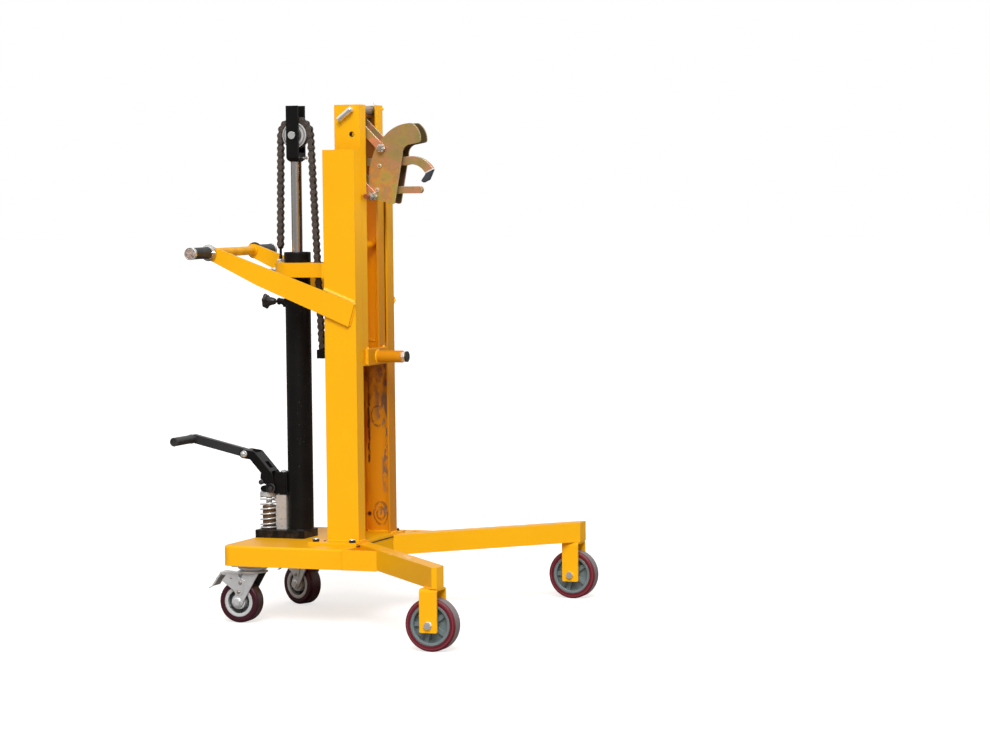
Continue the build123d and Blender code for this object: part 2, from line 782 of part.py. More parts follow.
nodes["head_clevis"] = make_clevis()
pin_head_y = clevis_half_w + sheave_pin_head_h
sheave_pin = rod_y(sheave_pin_d, ram_x, -clevis_half_w, clevis_half_w, sheave_z)
for low, high in ((-pin_head_y, -clevis_half_w), (clevis_half_w, pin_head_y)):
    sheave_pin += rod_y(sheave_pin_head_d, ram_x, low, high, sheave_z)
nodes["sheave_pin"] = sheave_pin
sheave_r = chain_r - chain_plate_h / 2 - run_gap
sheave = rod_y(2 * sheave_r, ram_x, -sheave_rim_w / 2, sheave_rim_w / 2, sheave_z)
sheave += rod_y(sheave_boss_d, ram_x, -sheave_w / 2, sheave_w / 2, sheave_z)
nodes["sheave"] = sheave - rod_y(sheave_pin_d + 2 * shaft_fit, ram_x, -sheave_w / 2, sheave_w / 2, sheave_z)


# Lifting chain: side plates and rollers over the sheave, and two straight runs
plate_in = chain_half_w / 2


def chain_side_plates(outline):
    """The two rows of side plates of one stretch of chain."""
    return plate_y(outline, -chain_half_w, -plate_in) + plate_y(outline, plate_in, chain_half_w)


def chain_rollers(points, diameter):
    """Rollers across the chain at the given pin places."""
    rollers = [rod_y(diameter, x, -plate_in, plate_in, z) for x, z in points]
    return rollers[0].fuse(*rollers[1:]) if len(rollers) > 1 else rollers[0]


def make_chain_wrap():
    turns = [pi * index / wrap_links for index in range(wrap_links + 1)]
    pins = [(ram_x - chain_r * cos(turn), sheave_z + chain_r * sin(turn)) for turn in turns]
    band = Circle(chain_r + chain_waist_h / 2) - Circle(chain_r - chain_waist_h / 2)
    upper = Pos(0, chain_r) * Rectangle(4 * chain_r, 2 * chain_r)
    outline = Pos(ram_x, sheave_z) * (band & upper)
    for x, z in pins:
        outline += Pos(x, z) * Circle(chain_plate_h / 2)
    return chain_side_plates(outline) + chain_rollers(pins, chain_roller_d)


def make_chain_run(top, bottom, links):
    """A straight run whose first pin is one pitch below the wrap's last one."""
    step_x = (bottom[0] - top[0]) / links
    step_z = (bottom[1] - top[1]) / links
    pins = [(top[0] + step_x * index, top[1] + step_z * index) for index in range(1, links + 1)]
    run = hypot(bottom[0] - top[0], bottom[1] - top[1])
    start = (chain_plate_h / 2 + run_gap) / run
    waist_top = (top[0] + (bottom[0] - top[0]) * start, top[1] + (bottom[1] - top[1]) * start)
    middle = Pos((waist_top[0] + bottom[0]) / 2, (waist_top[1] + bottom[1]) / 2)
    turn = degrees(atan2(bottom[1] - top[1], bottom[0] - top[0]))
    outline = middle * Rot(0, 0, turn) * Rectangle(run * (1 - start), chain_waist_h)
    outline = outline.fuse(*[Pos(x, z) * Circle(chain_plate_h / 2) for x, z in pins])
    outline = Sketch() + outline
    return chain_side_plates(outline) + chain_rollers(pins[:-1], chain_roller_d) + chain_rollers(
        pins[-1:], chain_pin_d)


rear_top = (ram_x - chain_r, sheave_z)
rear_bottom = (rear_top[0] - rear_run_lean, sheave_z - rear_links * chain_pitch)
front_top = (ram_x + chain_r, sheave_z)
front_bottom = (front_top[0] + front_run_lean, carriage_z + lower_anchor_up)
front_links = round(hypot(front_run_lean, front_top[1] - front_bottom[1]) / chain_pitch)
nodes["chain_over_sheave"] = make_chain_wrap()
nodes["chain_rear_run"] = make_chain_run(rear_top, rear_bottom, rear_links)
nodes["chain_front_run"] = make_chain_run(front_top, front_bottom, front_links)


def anchor_tongue(pin_place, foot_z):
    """A tongue that rises between the chain's last side plates, bored for its end pin."""
    x, z = pin_place
    half = plate_in - run_gap
    outline = slot_between((x, z), (x, foot_z), anchor_tongue_w)
    outline -= Pos(x, z) * Circle(chain_pin_d / 2 + weld_gap)
    return plate_y(outline, -half, half)


def make_chain_anchor():
    x, z = rear_bottom
    bracket_top = bracket_z + bracket_h
    neck_z = z - chain_plate_h / 2 - anchor_tongue_w / 2
    stud = rod_z(anchor_stud_d, x, 0, bracket_z - 2 * anchor_nut_h, neck_z)
    stud += anchor_tongue(rear_bottom, neck_z)
    stud += hex_z(anchor_nut, x, 0, bracket_top, bracket_top + anchor_nut_h)
    stud += hex_z(anchor_nut, x, 0, bracket_z - anchor_nut_h, bracket_z)
    return stud


nodes["chain_anchor"] = make_chain_anchor()


# Carriage: two smaller channels with roller stubs, a cross rod and a tie plate at the back
upper_roller_z = mast_top_z - upper_roller_below_top
lower_roller_z = carriage_z + lower_roller_up
roller_out = mast_inner_y - roller_web_gap
roller_in = roller_out - roller_w
web_in = carriage_half_w - carriage_wall
spare_hole_z = pin_z - pin_hole_step


def make_carriage():
    side = channel(
        carriage_rear_x, carriage_front_x, carriage_half_w, carriage_flange, carriage_wall, carriage_z,
        carriage_top_z)
    for z in (pin_z, spare_hole_z):
        side -= rod_y(height_pin_d + 2 * shaft_fit, height_pin_x, -carriage_half_w, -web_in, z)
    for z in (upper_roller_z, lower_roller_z):
        side += rod_y(roller_axle_d, 0, -roller_out, -web_in, z)
        side += rod_y(roller_shoulder_d, 0, -roller_in + side_gap, -web_in, z)
    body = side + mirror(side, about=Plane.XZ)
    body += rod_y(cross_rod_d, cross_rod_x, -web_in, web_in, carriage_z + cross_rod_up)
    body += block(
        carriage_rear_x - rear_tie_t, carriage_rear_x, -rear_tie_half_w, rear_tie_half_w, carriage_z,
        carriage_z + rear_tie_h)
    return body


def make_rollers(z):
    diameter = mast_depth - 2 * mast_wall - 2 * run_gap
    roller = rod_y(diameter, 0, -roller_out, -roller_in, z)
    return both_sides(roller - rod_y(roller_axle_d + 2 * shaft_fit, 0, -roller_out, -roller_in, z))


nodes["carriage_channels"] = make_carriage()
nodes["upper_rollers"] = make_rollers(upper_roller_z)
nodes["lower_rollers"] = make_rollers(lower_roller_z)

crossbox_front_x = carriage_front_x + crossbox_depth
stub_z = carriage_z + crossbox_h / 2
stub_end = crossbox_front_x + stub_len


def make_crossbox():
    box = block(
        carriage_front_x, crossbox_front_x, -crossbox_half_w, crossbox_half_w, carriage_z,
        carriage_z + crossbox_h)
    box = fillet(box.faces().sort_by(Axis.X)[-1].edges(), crossbox_edge_r)
    box += rod_x(stub_d, crossbox_front_x - crossbox_edge_r, stub_end, 0, stub_z)
    return box - rod_x(bumper_bolt_d + 2 * weld_gap, stub_end - bumper_bolt_in, stub_end, 0, stub_z)


nodes["carriage_crossbox"] = make_crossbox()
bumper_bolt = rod_x(bumper_bolt_d, stub_end - bumper_bolt_in, stub_end, 0, stub_z)
nodes["bumper_bolt"] = bumper_bolt + hex_x(bumper_hex, stub_end, stub_end + bumper_hex_h, 0, stub_z)
pad_x = stub_end + bumper_hex_h
nodes["bumper_pad"] = rod_x(bumper_pad_d, pad_x, pad_x + bumper_pad_t, 0, stub_z)


def make_lower_anchor():
    x, z = front_bottom
    rear_x = carriage_rear_x - rear_tie_t
    top_z = z - chain_plate_h / 2 - anchor_chain_gap
    arm = block(
        x - lower_anchor_rear, rear_x, -lower_anchor_half_w, lower_anchor_half_w, top_z - lower_anchor_h,
        top_z)
    return arm + anchor_tongue(front_bottom, top_z - anchor_chain_gap)


nodes["chain_lower_anchor"] = make_lower_anchor()


# Gripper head: two bars in the carriage's channels, with the link pins and the height pin's collars
upper_pivot = (upper_link_pivot_x, pin_z - upper_link_pivot_below_pin)
lower_pivot = (upper_pivot[0] - lower_link_back, upper_pivot[1] - lower_link_below)
link_run = (link_len * cos(radians(link_angle)), link_len * sin(radians(link_angle)))
upper_bolt = (upper_pivot[0] + link_run[0], upper_pivot[1] + link_run[1])
lower_bolt = (lower_pivot[0] + link_run[0], lower_pivot[1] + link_run[1])
link_in = gripper_half_w + side_gap
link_out = link_in + link_t
bar_out = web_in - run_gap
bar_in = bar_out - head_bar_t


def make_head_slide():
    side = block(
        carriage_rear_x + carriage_wall + run_gap, carriage_front_x - carriage_wall - run_gap, -bar_out,
        -bar_in, lower_pivot[1] - head_bar_bottom, carriage_top_z - head_bar_top)
    side += rod_y(head_collar_d, height_pin_x, -bar_in, -bar_in + head_collar_len, pin_z)
    for x, z in (upper_pivot, lower_pivot):
        side += rod_y(link_shoulder_d, x, -bar_in, -link_out - side_gap, z)
        side += rod_y(link_pin_d, x, -bar_in, 0, z)
    side -= rod_y(height_pin_d + 2 * shaft_fit, height_pin_x, -bar_out, -bar_in + head_collar_len, pin_z)
    side -= rod_y(height_pin_d + 2 * shaft_fit, height_pin_x, -bar_out, -bar_in, spare_hole_z)
    return side + mirror(side, about=Plane.XZ)


nodes["head_slide"] = make_head_slide()


def make_height_pin():
    elbow_y = -carriage_half_w - pin_elbow_out
    shank = rod_y(height_pin_d, height_pin_x, elbow_y, carriage_half_w + pin_stick_out, pin_z)
    turn = Pos(height_pin_x, elbow_y, pin_z)
    handle = turn * Sphere(height_pin_d / 2)
    grip = Pos(0, 0, -pin_handle_len / 2) * Cylinder(height_pin_d / 2, pin_handle_len)
    return shank + handle + turn * Rot(0, 90 - pin_handle_drop, 0) * grip


nodes["height_pin"] = make_height_pin()


# Links: two equal pairs of flat bars, so the gripper stays upright as it swings
def make_links(pivot, bolt):
    outline = slot_between(pivot, bolt, link_w)
    outline -= Pos(*pivot) * Circle(link_pin_d / 2 + shaft_fit)
    outline -= Pos(*bolt) * Circle(gripper_bolt_d / 2 + shaft_fit)
    return both_sides(plate_y(outline, -link_out, -link_in))


nodes["upper_links"] = make_links(upper_pivot, upper_bolt)
nodes["lower_links"] = make_links(lower_pivot, lower_bolt)


# Gripper: two beak-shaped plates on bolts and rivets, with a hooked upper jaw and a straight lower jaw
def from_bolt(x, z):
    """A place measured from the gripper's upper bolt."""
    return (upper_bolt[0] + x, upper_bolt[1] + z)


upper_jaw_pivot = from_bolt(upper_jaw_pivot_x, -upper_jaw_pivot_drop)
lower_jaw_pivot = from_bolt(lower_jaw_pivot_x, -lower_jaw_pivot_drop)


def make_gripper_plates():
    neck = from_bolt(*neck_place)
    crown = from_bolt(beak_crown_x, beak_top)
    nose = from_bolt(beak_reach, beak_under)
    throat_start = from_bolt(*throat_top)
    throat = from_bolt(throat_x, -throat_drop)
    toe = from_bolt(foot_front_x, -gripper_drop)
    heel = from_bolt(foot_rear_x, foot_rear_rise - gripper_drop)
    back = from_bolt(*rear_shoulder)
    edge = [
        ThreePointArc(neck, from_bolt(*beak_brow), crown),
        ThreePointArc(crown, from_bolt(*beak_nose_round), nose),
        Line(nose, throat_start),
        ThreePointArc(throat_start, from_bolt(*throat_round), throat),
        Line(throat, toe),
        Line(toe, heel),
        ThreePointArc(heel, from_bolt(*rear_bulge), back),
        ThreePointArc(back, from_bolt(*rear_brow), neck)]
    outline = make_face(edge)
    corners = outline.vertices().sort_by(Axis.Y)[:2] + outline.vertices().sort_by(Axis.X)[-1:]
    outline = fillet(corners, gripper_corner_r)
    for x, z in (upper_bolt, lower_bolt):
        outline -= Pos(x, z) * Circle(gripper_bolt_d / 2 + weld_gap)
    for x, z in (upper_jaw_pivot, lower_jaw_pivot):
        outline -= Pos(x, z) * Circle(rivet_d / 2 + weld_gap)
    return both_sides(plate_y(outline, -gripper_half_w, -gripper_half_w + gripper_plate_t))


def make_gripper_pins():
    pieces = []
    head_in = link_out + run_gap
    head_out = head_in + gripper_bolt_head
    for place, tail in ((upper_bolt, 0), (lower_bolt, lower_bolt_tail)):
        x, z = place
        bolt = rod_y(gripper_bolt_d, x, -head_out - tail, head_out, z)
        bolt += hex_y(gripper_bolt_hex, x, head_in, head_out, z)
        bolt += hex_y(gripper_bolt_hex, x, -head_out, -head_in, z)
        pieces.append(bolt)
    for x, z in (upper_jaw_pivot, lower_jaw_pivot):
        rivet = rod_y(rivet_d, x, -gripper_half_w - rivet_head_h, gripper_half_w + rivet_head_h, z)
        for low in (-gripper_half_w - rivet_head_h, gripper_half_w):
            rivet += rod_y(rivet_head_d, x, low, low + rivet_head_h, z)
        pieces.append(rivet)
    return pieces


def make_upper_jaw():
    x, z = upper_jaw_pivot

    def from_pivot(place):
        return (x + place[0], z + place[1])

    low_z = z + jaw_lift
    top_z = low_z + jaw_bar_h
    bend_x = x + jaw_straight
    shoulder = from_pivot((hook_reach, -hook_shoulder_drop))
    root = from_pivot((hook_reach - hook_tip_w, -hook_root_drop))
    tip = [from_pivot(place) for place in hook_tip]
    edge = [
        Line((x - jaw_tail, low_z), (bend_x, low_z)),
        ThreePointArc((bend_x, low_z), from_pivot(hook_inner), root),
        Polyline(root, *tip, shoulder),
        ThreePointArc(shoulder, from_pivot(hook_outer), (bend_x, top_z + hook_rise)),
        Polyline((bend_x, top_z + hook_rise), (x - jaw_tail, top_z), (x - jaw_tail, low_z))]
    outline = make_face(edge) + Pos(x, z) * Circle(jaw_boss_d / 2)
    outline -= Pos(x, z) * Circle(rivet_d / 2 + shaft_fit)
    return plate_y(outline, -jaw_half_w, jaw_half_w)


def make_lower_jaw():
    x, z = lower_jaw_pivot
    outline = slot_between((x, z), (x + lower_jaw_reach, z), jaw_bar_h)
    outline -= Pos(x, z) * Circle(rivet_d / 2 + shaft_fit)
    return plate_y(outline, -jaw_half_w, jaw_half_w)


nodes["gripper_plates"] = make_gripper_plates()
nodes["gripper_pins"] = make_gripper_pins()
nodes["upper_jaw"] = make_upper_jaw()
nodes["lower_jaw"] = make_lower_jaw()


# Hand pump: sleeve and block on the ram's base, plunger with its cap, and the return spring
cap_z = ram_base_top_z + spring_h
sleeve_top_z = ram_base_top_z + sleeve_h
pump_block_x = ram_x - ram_tube_d / 2 - pump_block_gap
sleeve = rod_z(sleeve_d, pump_x, 0, ram_base_top_z, sleeve_top_z)
sleeve -= rod_z(plunger_d + 2 * shaft_fit, pump_x, 0, ram_base_top_z, sleeve_top_z)
pump_block = block(
    pump_block_x - pump_block_len, pump_block_x, -pump_block_half_w, pump_block_half_w, ram_base_top_z,
    ram_base_top_z + pump_block_h)
nodes["pump_body"] = [sleeve, fillet(pump_block.edges().filter_by(Axis.Z), pump_block_r)]
plunger_foot_z = ram_base_top_z + sleeve_h / 2
plunger = rod_z(plunger_d, pump_x, 0, plunger_foot_z, cap_z)
nodes["pump_plunger"] = plunger + chamfer(
    rod_z(cap_d, pump_x, 0, cap_z, cap_z + cap_h).edges().group_by(Axis.Z)[-1], cap_chamfer)


# Return spring: one wire on biarcs of a quarter turn, with a short straight lead at each end
def biarc(start, start_way, end, end_way):
    """Two arcs that leave start and reach end along the given directions."""
    chord = end - start
    total = start_way + end_way
    open_part = 1 - start_way.dot(end_way)
    along = chord.dot(total)
    reach = (-along + sqrt(along ** 2 + 2 * open_part * chord.dot(chord))) / (2 * open_part)
    joint = (start + end + (start_way - end_way) * reach) * 0.5
    joint_way = ((end - end_way * reach) - (start + start_way * reach)).normalized()
    return [TangentArc(start, joint, tangent=start_way), TangentArc(joint, end, tangent=joint_way)]


def make_spring():
    wire_r = spring_wire / 2
    coil_r = spring_d / 2 - wire_r
    quarters = 4 * spring_turns
    lead_rise = spring_wire * (spring_h - spring_wire) / (2 * pi * coil_r * spring_turns)
    low = ram_base_top_z + wire_r + weld_gap + lead_rise
    high = cap_z - wire_r - weld_gap - lead_rise
    rise = (high - low) / quarters
    way_scale = hypot(coil_r * pi / 2, rise)

    def place(index):
        angle = pi / 2 * index
        return Vector(pump_x + coil_r * cos(angle), coil_r * sin(angle), low + rise * index)

    def way(index):
        angle = pi / 2 * index
        across = coil_r * pi / 2
        return Vector(-across * sin(angle), across * cos(angle), rise) * (1 / way_scale)

    first = place(0) - way(0) * spring_wire
    last = place(quarters) + way(quarters) * spring_wire
    edges = [Line(first, place(0))]
    for index in range(quarters):
        edges += biarc(place(index), way(index), place(index + 1), way(index + 1))
    edges.append(Line(place(quarters), last))
    path = Wire([edge.edge() for edge in edges])
    samples = [path @ (step / (quarters * 12)) for step in range(quarters * 12 + 1)]
    apart = 24
    least = min((samples[one] - samples[two]).length
                for one in range(len(samples)) for two in range(one + apart, len(samples)))
    print("spring: least gap between turns", round(least - spring_wire, 2), "mm")
    section = Plane(origin=first, z_dir=way(0)) * Circle(wire_r)
    return sweep(section, path=path)


nodes["pump_spring"] = make_spring()


# Pump lever: bracket on the ram, forked socket with its roller, folding arm and hand grip
lever_pivot = (lever_pivot_x, lever_pivot_z)
knee = (lever_pivot_x - knee_back, lever_pivot_z + knee_rise)
arm_bolt = (lever_pivot_x - arm_bolt_back, lever_pivot_z + arm_bolt_rise)
lever_tip = (lever_tip_x, lever_pivot_z + lever_tip_rise)
ear_in = bracket_plate_in + bracket_plate_t + run_gap
ear_out = ear_in + ear_t
roller_x = lever_pivot_x - lever_roller_back


def make_lever_bracket():
    seat_x = ram_x - sqrt((ram_tube_d / 2 + weld_gap) ** 2 - bracket_plate_in ** 2)
    back = outline_of([
        (seat_x, lever_pivot_z - bracket_plate_drop), (seat_x, lever_pivot_z + bracket_plate_rise),
        (lever_pivot_x + lever_boss_d / 2, lever_pivot_z + bracket_plate_rise),
        (lever_pivot_x - lever_pin_d / 4, lever_pivot_z),
        (lever_pivot_x, lever_pivot_z - lever_bracket_boss_d / 2),
        (lever_pivot_x + lever_boss_d / 2, lever_pivot_z - bracket_plate_drop)])
    back += Pos(*lever_pivot) * Circle(lever_bracket_boss_d / 2)
    side = plate_y(back, -bracket_plate_in - bracket_plate_t, -bracket_plate_in)
    side -= rod_z(
        ram_tube_d + 2 * weld_gap, ram_x, 0, lever_pivot_z - lever_boss_d,
        lever_pivot_z + 2 * bracket_plate_rise)
    body = side + mirror(side, about=Plane.XZ)
    end_y = ear_out + lever_pin_end
    body += rod_y(lever_pin_d, lever_pivot_x, -end_y, end_y, lever_pivot_z)
    for low in (-end_y - lever_pin_head_h, end_y):
        body += rod_y(lever_pin_head_d, lever_pivot_x, low, low + lever_pin_head_h, lever_pivot_z)
    return body


def make_lever_socket():
    elbow = (lever_pivot_x - elbow_back, lever_pivot_z + elbow_rise)
    ear = slot_between(lever_pivot, elbow, lever_boss_d)
    ear += slot_between(elbow, knee, socket_w)
    ear += slot_between(knee, arm_bolt, socket_w)
    ear += slot_between(lever_pivot, (roller_x, roller_z), lever_roller_d)
    ear -= Pos(*lever_pivot) * Circle(lever_pin_d / 2 + shaft_fit)
    side = plate_y(ear, -ear_out, -ear_in)
    body = side + mirror(side, about=Plane.XZ)
    body += rod_y(lever_roller_d, roller_x, -ear_in, ear_in, roller_z)
    run = hypot(knee[0] - elbow[0], knee[1] - elbow[1])
    turn = degrees(atan2(knee[1] - elbow[1], knee[0] - elbow[0]))
    web = Box(run, 2 * ear_in, socket_web_t)
    web -= Pos(-run / 6, 0, 0) * Box(run / 3, ear_in, socket_web_t)
    middle = Pos((knee[0] + elbow[0]) / 2, 0, (knee[1] + elbow[1]) / 2)
    body += middle * Rot(0, -turn, 0) * Pos(0, 0, (socket_web_t - socket_w) / 2) * web
    bolt_y = ear_out + arm_bolt_head_h
    body += rod_y(arm_bolt_d, arm_bolt[0], -ear_out, ear_out, arm_bolt[1])
    for low, high in ((-bolt_y, -ear_out), (ear_out, bolt_y)):
        body += hex_y(arm_bolt_hex, arm_bolt[0], low, high, arm_bolt[1])
    return body


def make_lever_arm():
    bar = plate_y(slot_between(arm_bolt, lever_tip, arm_h), -arm_half_w, arm_half_w)
    bar += rod_y(arm_h, arm_bolt[0], -ear_in + side_gap, ear_in - side_gap, arm_bolt[1])
    bar -= rod_y(arm_bolt_d + 2 * shaft_fit, arm_bolt[0], -ear_in, ear_in, arm_bolt[1])
    grip_end = lever_grip_start + lever_grip_len
    return bar + rod_y(lever_rod_d, lever_tip[0], lever_grip_end_t - grip_end, 0, lever_tip[1])


lever_grip = rod_y(
    lever_grip_d, lever_tip[0], -lever_grip_start - lever_grip_len, -lever_grip_start, lever_tip[1])
lever_grip -= rod_y(
    lever_rod_d + 2 * weld_gap, lever_tip[0], lever_grip_end_t - weld_gap - lever_grip_start - lever_grip_len,
    -lever_grip_start, lever_tip[1])
nodes["lever_bracket"] = make_lever_bracket()
nodes["lever_socket"] = make_lever_socket()
nodes["lever_arm"] = make_lever_arm()
nodes["lever_grip"] = lever_grip


# Release knob: a lobed hand wheel on a spindle in the valve's stub
def make_release_knob():
    outline = Circle((knob_d - knob_lobe_d) / 2)
    for place in PolarLocations(knob_d / 2 - knob_lobe_d / 2, knob_lobes):
        outline += place * Circle(knob_lobe_d / 2)
    knob_x = stub_end_x - knob_neck - knob_t
    knob = Pos(knob_x, 0, valve_z) * extrude(Plane.YZ * outline, knob_t)
    cone_x = knob_x + knob_t + knob_cone_len / 2
    knob += Pos(cone_x, 0, valve_z) * Rot(0, 90, 0) * Cone(knob_cone_d / 2, knob_collar_d / 2, knob_cone_len)
    knob += rod_x(knob_collar_d, knob_x + knob_t, stub_end_x - run_gap, 0, valve_z)
    return knob + rod_x(knob_spindle_d, knob_x + knob_t, stub_end_x + spindle_in, 0, valve_z)


nodes["release_knob"] = make_release_knob()


# Fasteners of the frame: foot bolts, front axle bolts and the grease nipple on the collar
def make_chassis_bolts():
    pieces = []
    for x, y in foot_bolts:
        bolt = rod_z(foot_bolt_d, x, y, deck_z, mast_bottom_z)
        pieces.append(bolt + hex_z(foot_bolt_head, x, y, mast_bottom_z, mast_bottom_z + foot_bolt_head_h))
    head_y = fork_half_w + front_axle_head_h
    axle = rod_y(front_axle_d, front_axle_x, -half_track - head_y, -half_track + head_y, front_axle_z)
    for low, high in ((-head_y, -fork_half_w), (fork_half_w, head_y)):
        axle += hex_y(front_axle_hex, front_axle_x, -half_track + low, -half_track + high, front_axle_z)
    pieces += both_sides(axle)
    nipple_x = ram_x - bracket_half_w
    nipple_z = bracket_z + bracket_h / 2
    nipple_end = nipple_x - nipple_hex_len
    nipple = hex_x(nipple_hex, nipple_end, nipple_x + weld_gap, 0, nipple_z)
    nipple += rod_x(nipple_d, nipple_end - nipple_len, nipple_end, 0, nipple_z)
    pieces.append(nipple - rod_z(2 * bracket_half_w, ram_x, 0, bracket_z, bracket_z + bracket_h))
    return pieces


nodes["chassis_bolts"] = make_chassis_bolts()


# One file per node, about the middle of the footprint
os.makedirs("parts", exist_ok=True)
to_origin = Pos(-middle_x, 0, 0)
for node_name, solids in nodes.items():
    pieces = solids if isinstance(solids, list) else [solids]
    moved = [to_origin * piece for piece in pieces]
    export_step(moved[0] if len(moved) == 1 else Compound(children=moved), "parts/" + node_name + ".step")
print(len(nodes), "nodes, origin shift", round(-middle_x, 3), "mm")
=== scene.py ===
# %% [markdown]
# # A manual drum lifter
# The real machine is a steel truck with a beak that grips a rim. A person pushes it up to its load by
# hand and pumps the beak up with a lever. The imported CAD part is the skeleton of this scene. Here it gets
# its paint, plating and rubber, and the small pieces that are too fine for the CAD model.

# %% Load the frame
import math

import bmesh
import bpy
from mathutils import Matrix, Vector


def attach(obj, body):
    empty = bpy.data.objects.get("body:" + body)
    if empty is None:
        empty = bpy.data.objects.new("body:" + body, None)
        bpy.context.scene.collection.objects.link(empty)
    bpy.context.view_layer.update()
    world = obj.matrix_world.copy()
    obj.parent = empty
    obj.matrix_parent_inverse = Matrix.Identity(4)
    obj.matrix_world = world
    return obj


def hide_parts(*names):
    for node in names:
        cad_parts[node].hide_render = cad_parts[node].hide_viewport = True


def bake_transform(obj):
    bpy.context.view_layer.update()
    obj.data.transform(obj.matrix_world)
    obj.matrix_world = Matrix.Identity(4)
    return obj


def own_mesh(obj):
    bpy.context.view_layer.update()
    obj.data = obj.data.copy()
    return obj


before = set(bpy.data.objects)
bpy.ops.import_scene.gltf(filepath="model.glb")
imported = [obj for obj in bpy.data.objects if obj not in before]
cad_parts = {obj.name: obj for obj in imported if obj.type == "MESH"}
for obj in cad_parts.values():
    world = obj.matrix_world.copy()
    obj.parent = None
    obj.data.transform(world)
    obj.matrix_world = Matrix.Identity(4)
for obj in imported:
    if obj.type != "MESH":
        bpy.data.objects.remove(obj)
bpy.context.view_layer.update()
scene = bpy.context.scene

# %% [markdown]
# All places below are written in millimetres about the middle of the mast, at the floor, because the mast
# is what everything else is bolted to. They could be written in the frame's metres, but then they would
# be hard to compare with a drawing. One small function turns such a place into metres, and another puts
# what is made into the scene.

# %% A place on the machine
MAST_AHEAD = 14.75


def here(x, y, z):
    """A place in millimetres about the mast, in metres in the frame."""
    return Vector(((x + MAST_AHEAD) / 1000, y / 1000, z / 1000))


def put_in_scene(name, data, matrix=None):
    """Adds a camera, a lamp or a mesh to the scene."""
    made = bpy.data.objects.new(name, data)
    if matrix is not None:
        made.matrix_world = matrix
    scene.collection.objects.link(made)
    return made


print("top of the mast:", here(0, 0, 1388)[:])

# %% [markdown]
# ## Camera
# The photograph was taken from the machine's right and a little in front, with a long lens from about
# nine metres away. The place, the turn and the lens were fitted to edges and wheels whose sizes are
# known. The turn could be given as Euler angles, but the camera's matrix is built from its own three
# directions, which leaves no doubt about the order of the angles.

# %% Set the camera
PHOTO_WIDTH, FOCAL_PIXELS, SENSOR_WIDTH = 990, 3126.31, 36
CAMERA_PLACE = (3698.6, -8500.6, 1283.1)
YAW, DIP, ROLL = 0.367303, 0.058439, -0.010749
forward = Vector((-math.sin(YAW) * math.cos(DIP), math.cos(YAW) * math.cos(DIP), -math.sin(DIP)))
level_right = Vector((math.cos(YAW), math.sin(YAW), 0))
level_up = level_right.cross(forward)
right = level_right * math.cos(ROLL) + level_up * math.sin(ROLL)
up = level_up * math.cos(ROLL) - level_right * math.sin(ROLL)
camera_data = bpy.data.cameras.new("photo_camera")
camera_data.sensor_width = SENSOR_WIDTH
camera_data.lens = SENSOR_WIDTH * FOCAL_PIXELS / PHOTO_WIDTH
camera_data.clip_end = 100
camera_turn = Matrix((right, up, -forward)).transposed().to_4x4()
camera_matrix = Matrix.Translation(here(*CAMERA_PLACE)) @ camera_turn
scene.camera = put_in_scene("photo_camera", camera_data, camera_matrix)
print("lens, mm:", round(camera_data.lens, 2))

# %% [markdown]
# ## Light
# The machine stands in even studio light that comes from over the photographer's shoulder, so the side
# that faces us is bright and flat, and the front faces are about two thirds as bright. Large area lamps
# could give that, but their light falls off along the machine. A sun with a wide angle is even at any
# distance, and its shadows are soft.

# %% Sun
SUN_TURN, SUN_HEIGHT = math.radians(19), math.radians(42)
scene.view_settings.view_transform = "Standard"


def aimed(way):
    """The turn that points a lamp along a direction."""
    return way.to_track_quat("-Z", "Y").to_matrix().to_4x4()


sun_lamp = bpy.data.lights.new("studio_key", "SUN")
sun_lamp.energy = 2.62
sun_lamp.angle = math.radians(32)
sun_way = Vector((-math.sin(SUN_TURN), math.cos(SUN_TURN), -math.tan(SUN_HEIGHT)))
put_in_scene("studio_key", sun_lamp, aimed(sun_way))
print("sun strength:", sun_lamp.energy)

# %% [markdown]
# The world and the finishes are wired from nodes. In Blender's editor they are placed and linked by
# mouse. In code each node, each input and each link could have its own line, but that hides what the
# wiring means. Four short functions let a node be written with what goes into it, be that a value or
# another node's output.

# %% Nodes from code
def feed(tree, socket, value):
    """Gives a socket a value, or links another node's output to it."""
    if isinstance(value, bpy.types.NodeSocket):
        tree.links.new(value, socket)
    else:
        socket.default_value = value


def new_node(tree, kind, operation=None, **inputs):
    """A shader node of some kind, with what goes into its named inputs."""
    made = tree.nodes.new("ShaderNode" + kind)
    if operation:
        made.operation = operation
    for name, value in inputs.items():
        feed(tree, made.inputs[name], value)
    return made


def math_node(tree, operation, *values, kind="Math", output=0):
    """The result of a sum whose terms are numbers, vectors or other nodes' outputs."""
    made = new_node(tree, kind, operation)
    for socket, value in zip(made.inputs, values):
        feed(tree, socket, value)
    return made.outputs[output]


def mix_shaders(tree, share, first, second):
    """The first shader where the share is nothing, the second where it is full."""
    made = new_node(tree, "MixShader", Fac=share)
    feed(tree, made.inputs[1], first)
    feed(tree, made.inputs[2], second)
    return made.outputs[0]


print("nodes are made by", new_node.__name__, "and fed by", feed.__name__)

# %% [markdown]
# The world adds the light of white walls. Camera rays see plain white, and mirror-like surfaces see a
# bright ceiling and a darker floor, which draws the chrome. A picture of a studio could do that too, but
# a ramp over the height of a ray needs no file. The walls are a little warm, because in the photograph
# the shaded paint is a deeper orange than the lit paint.

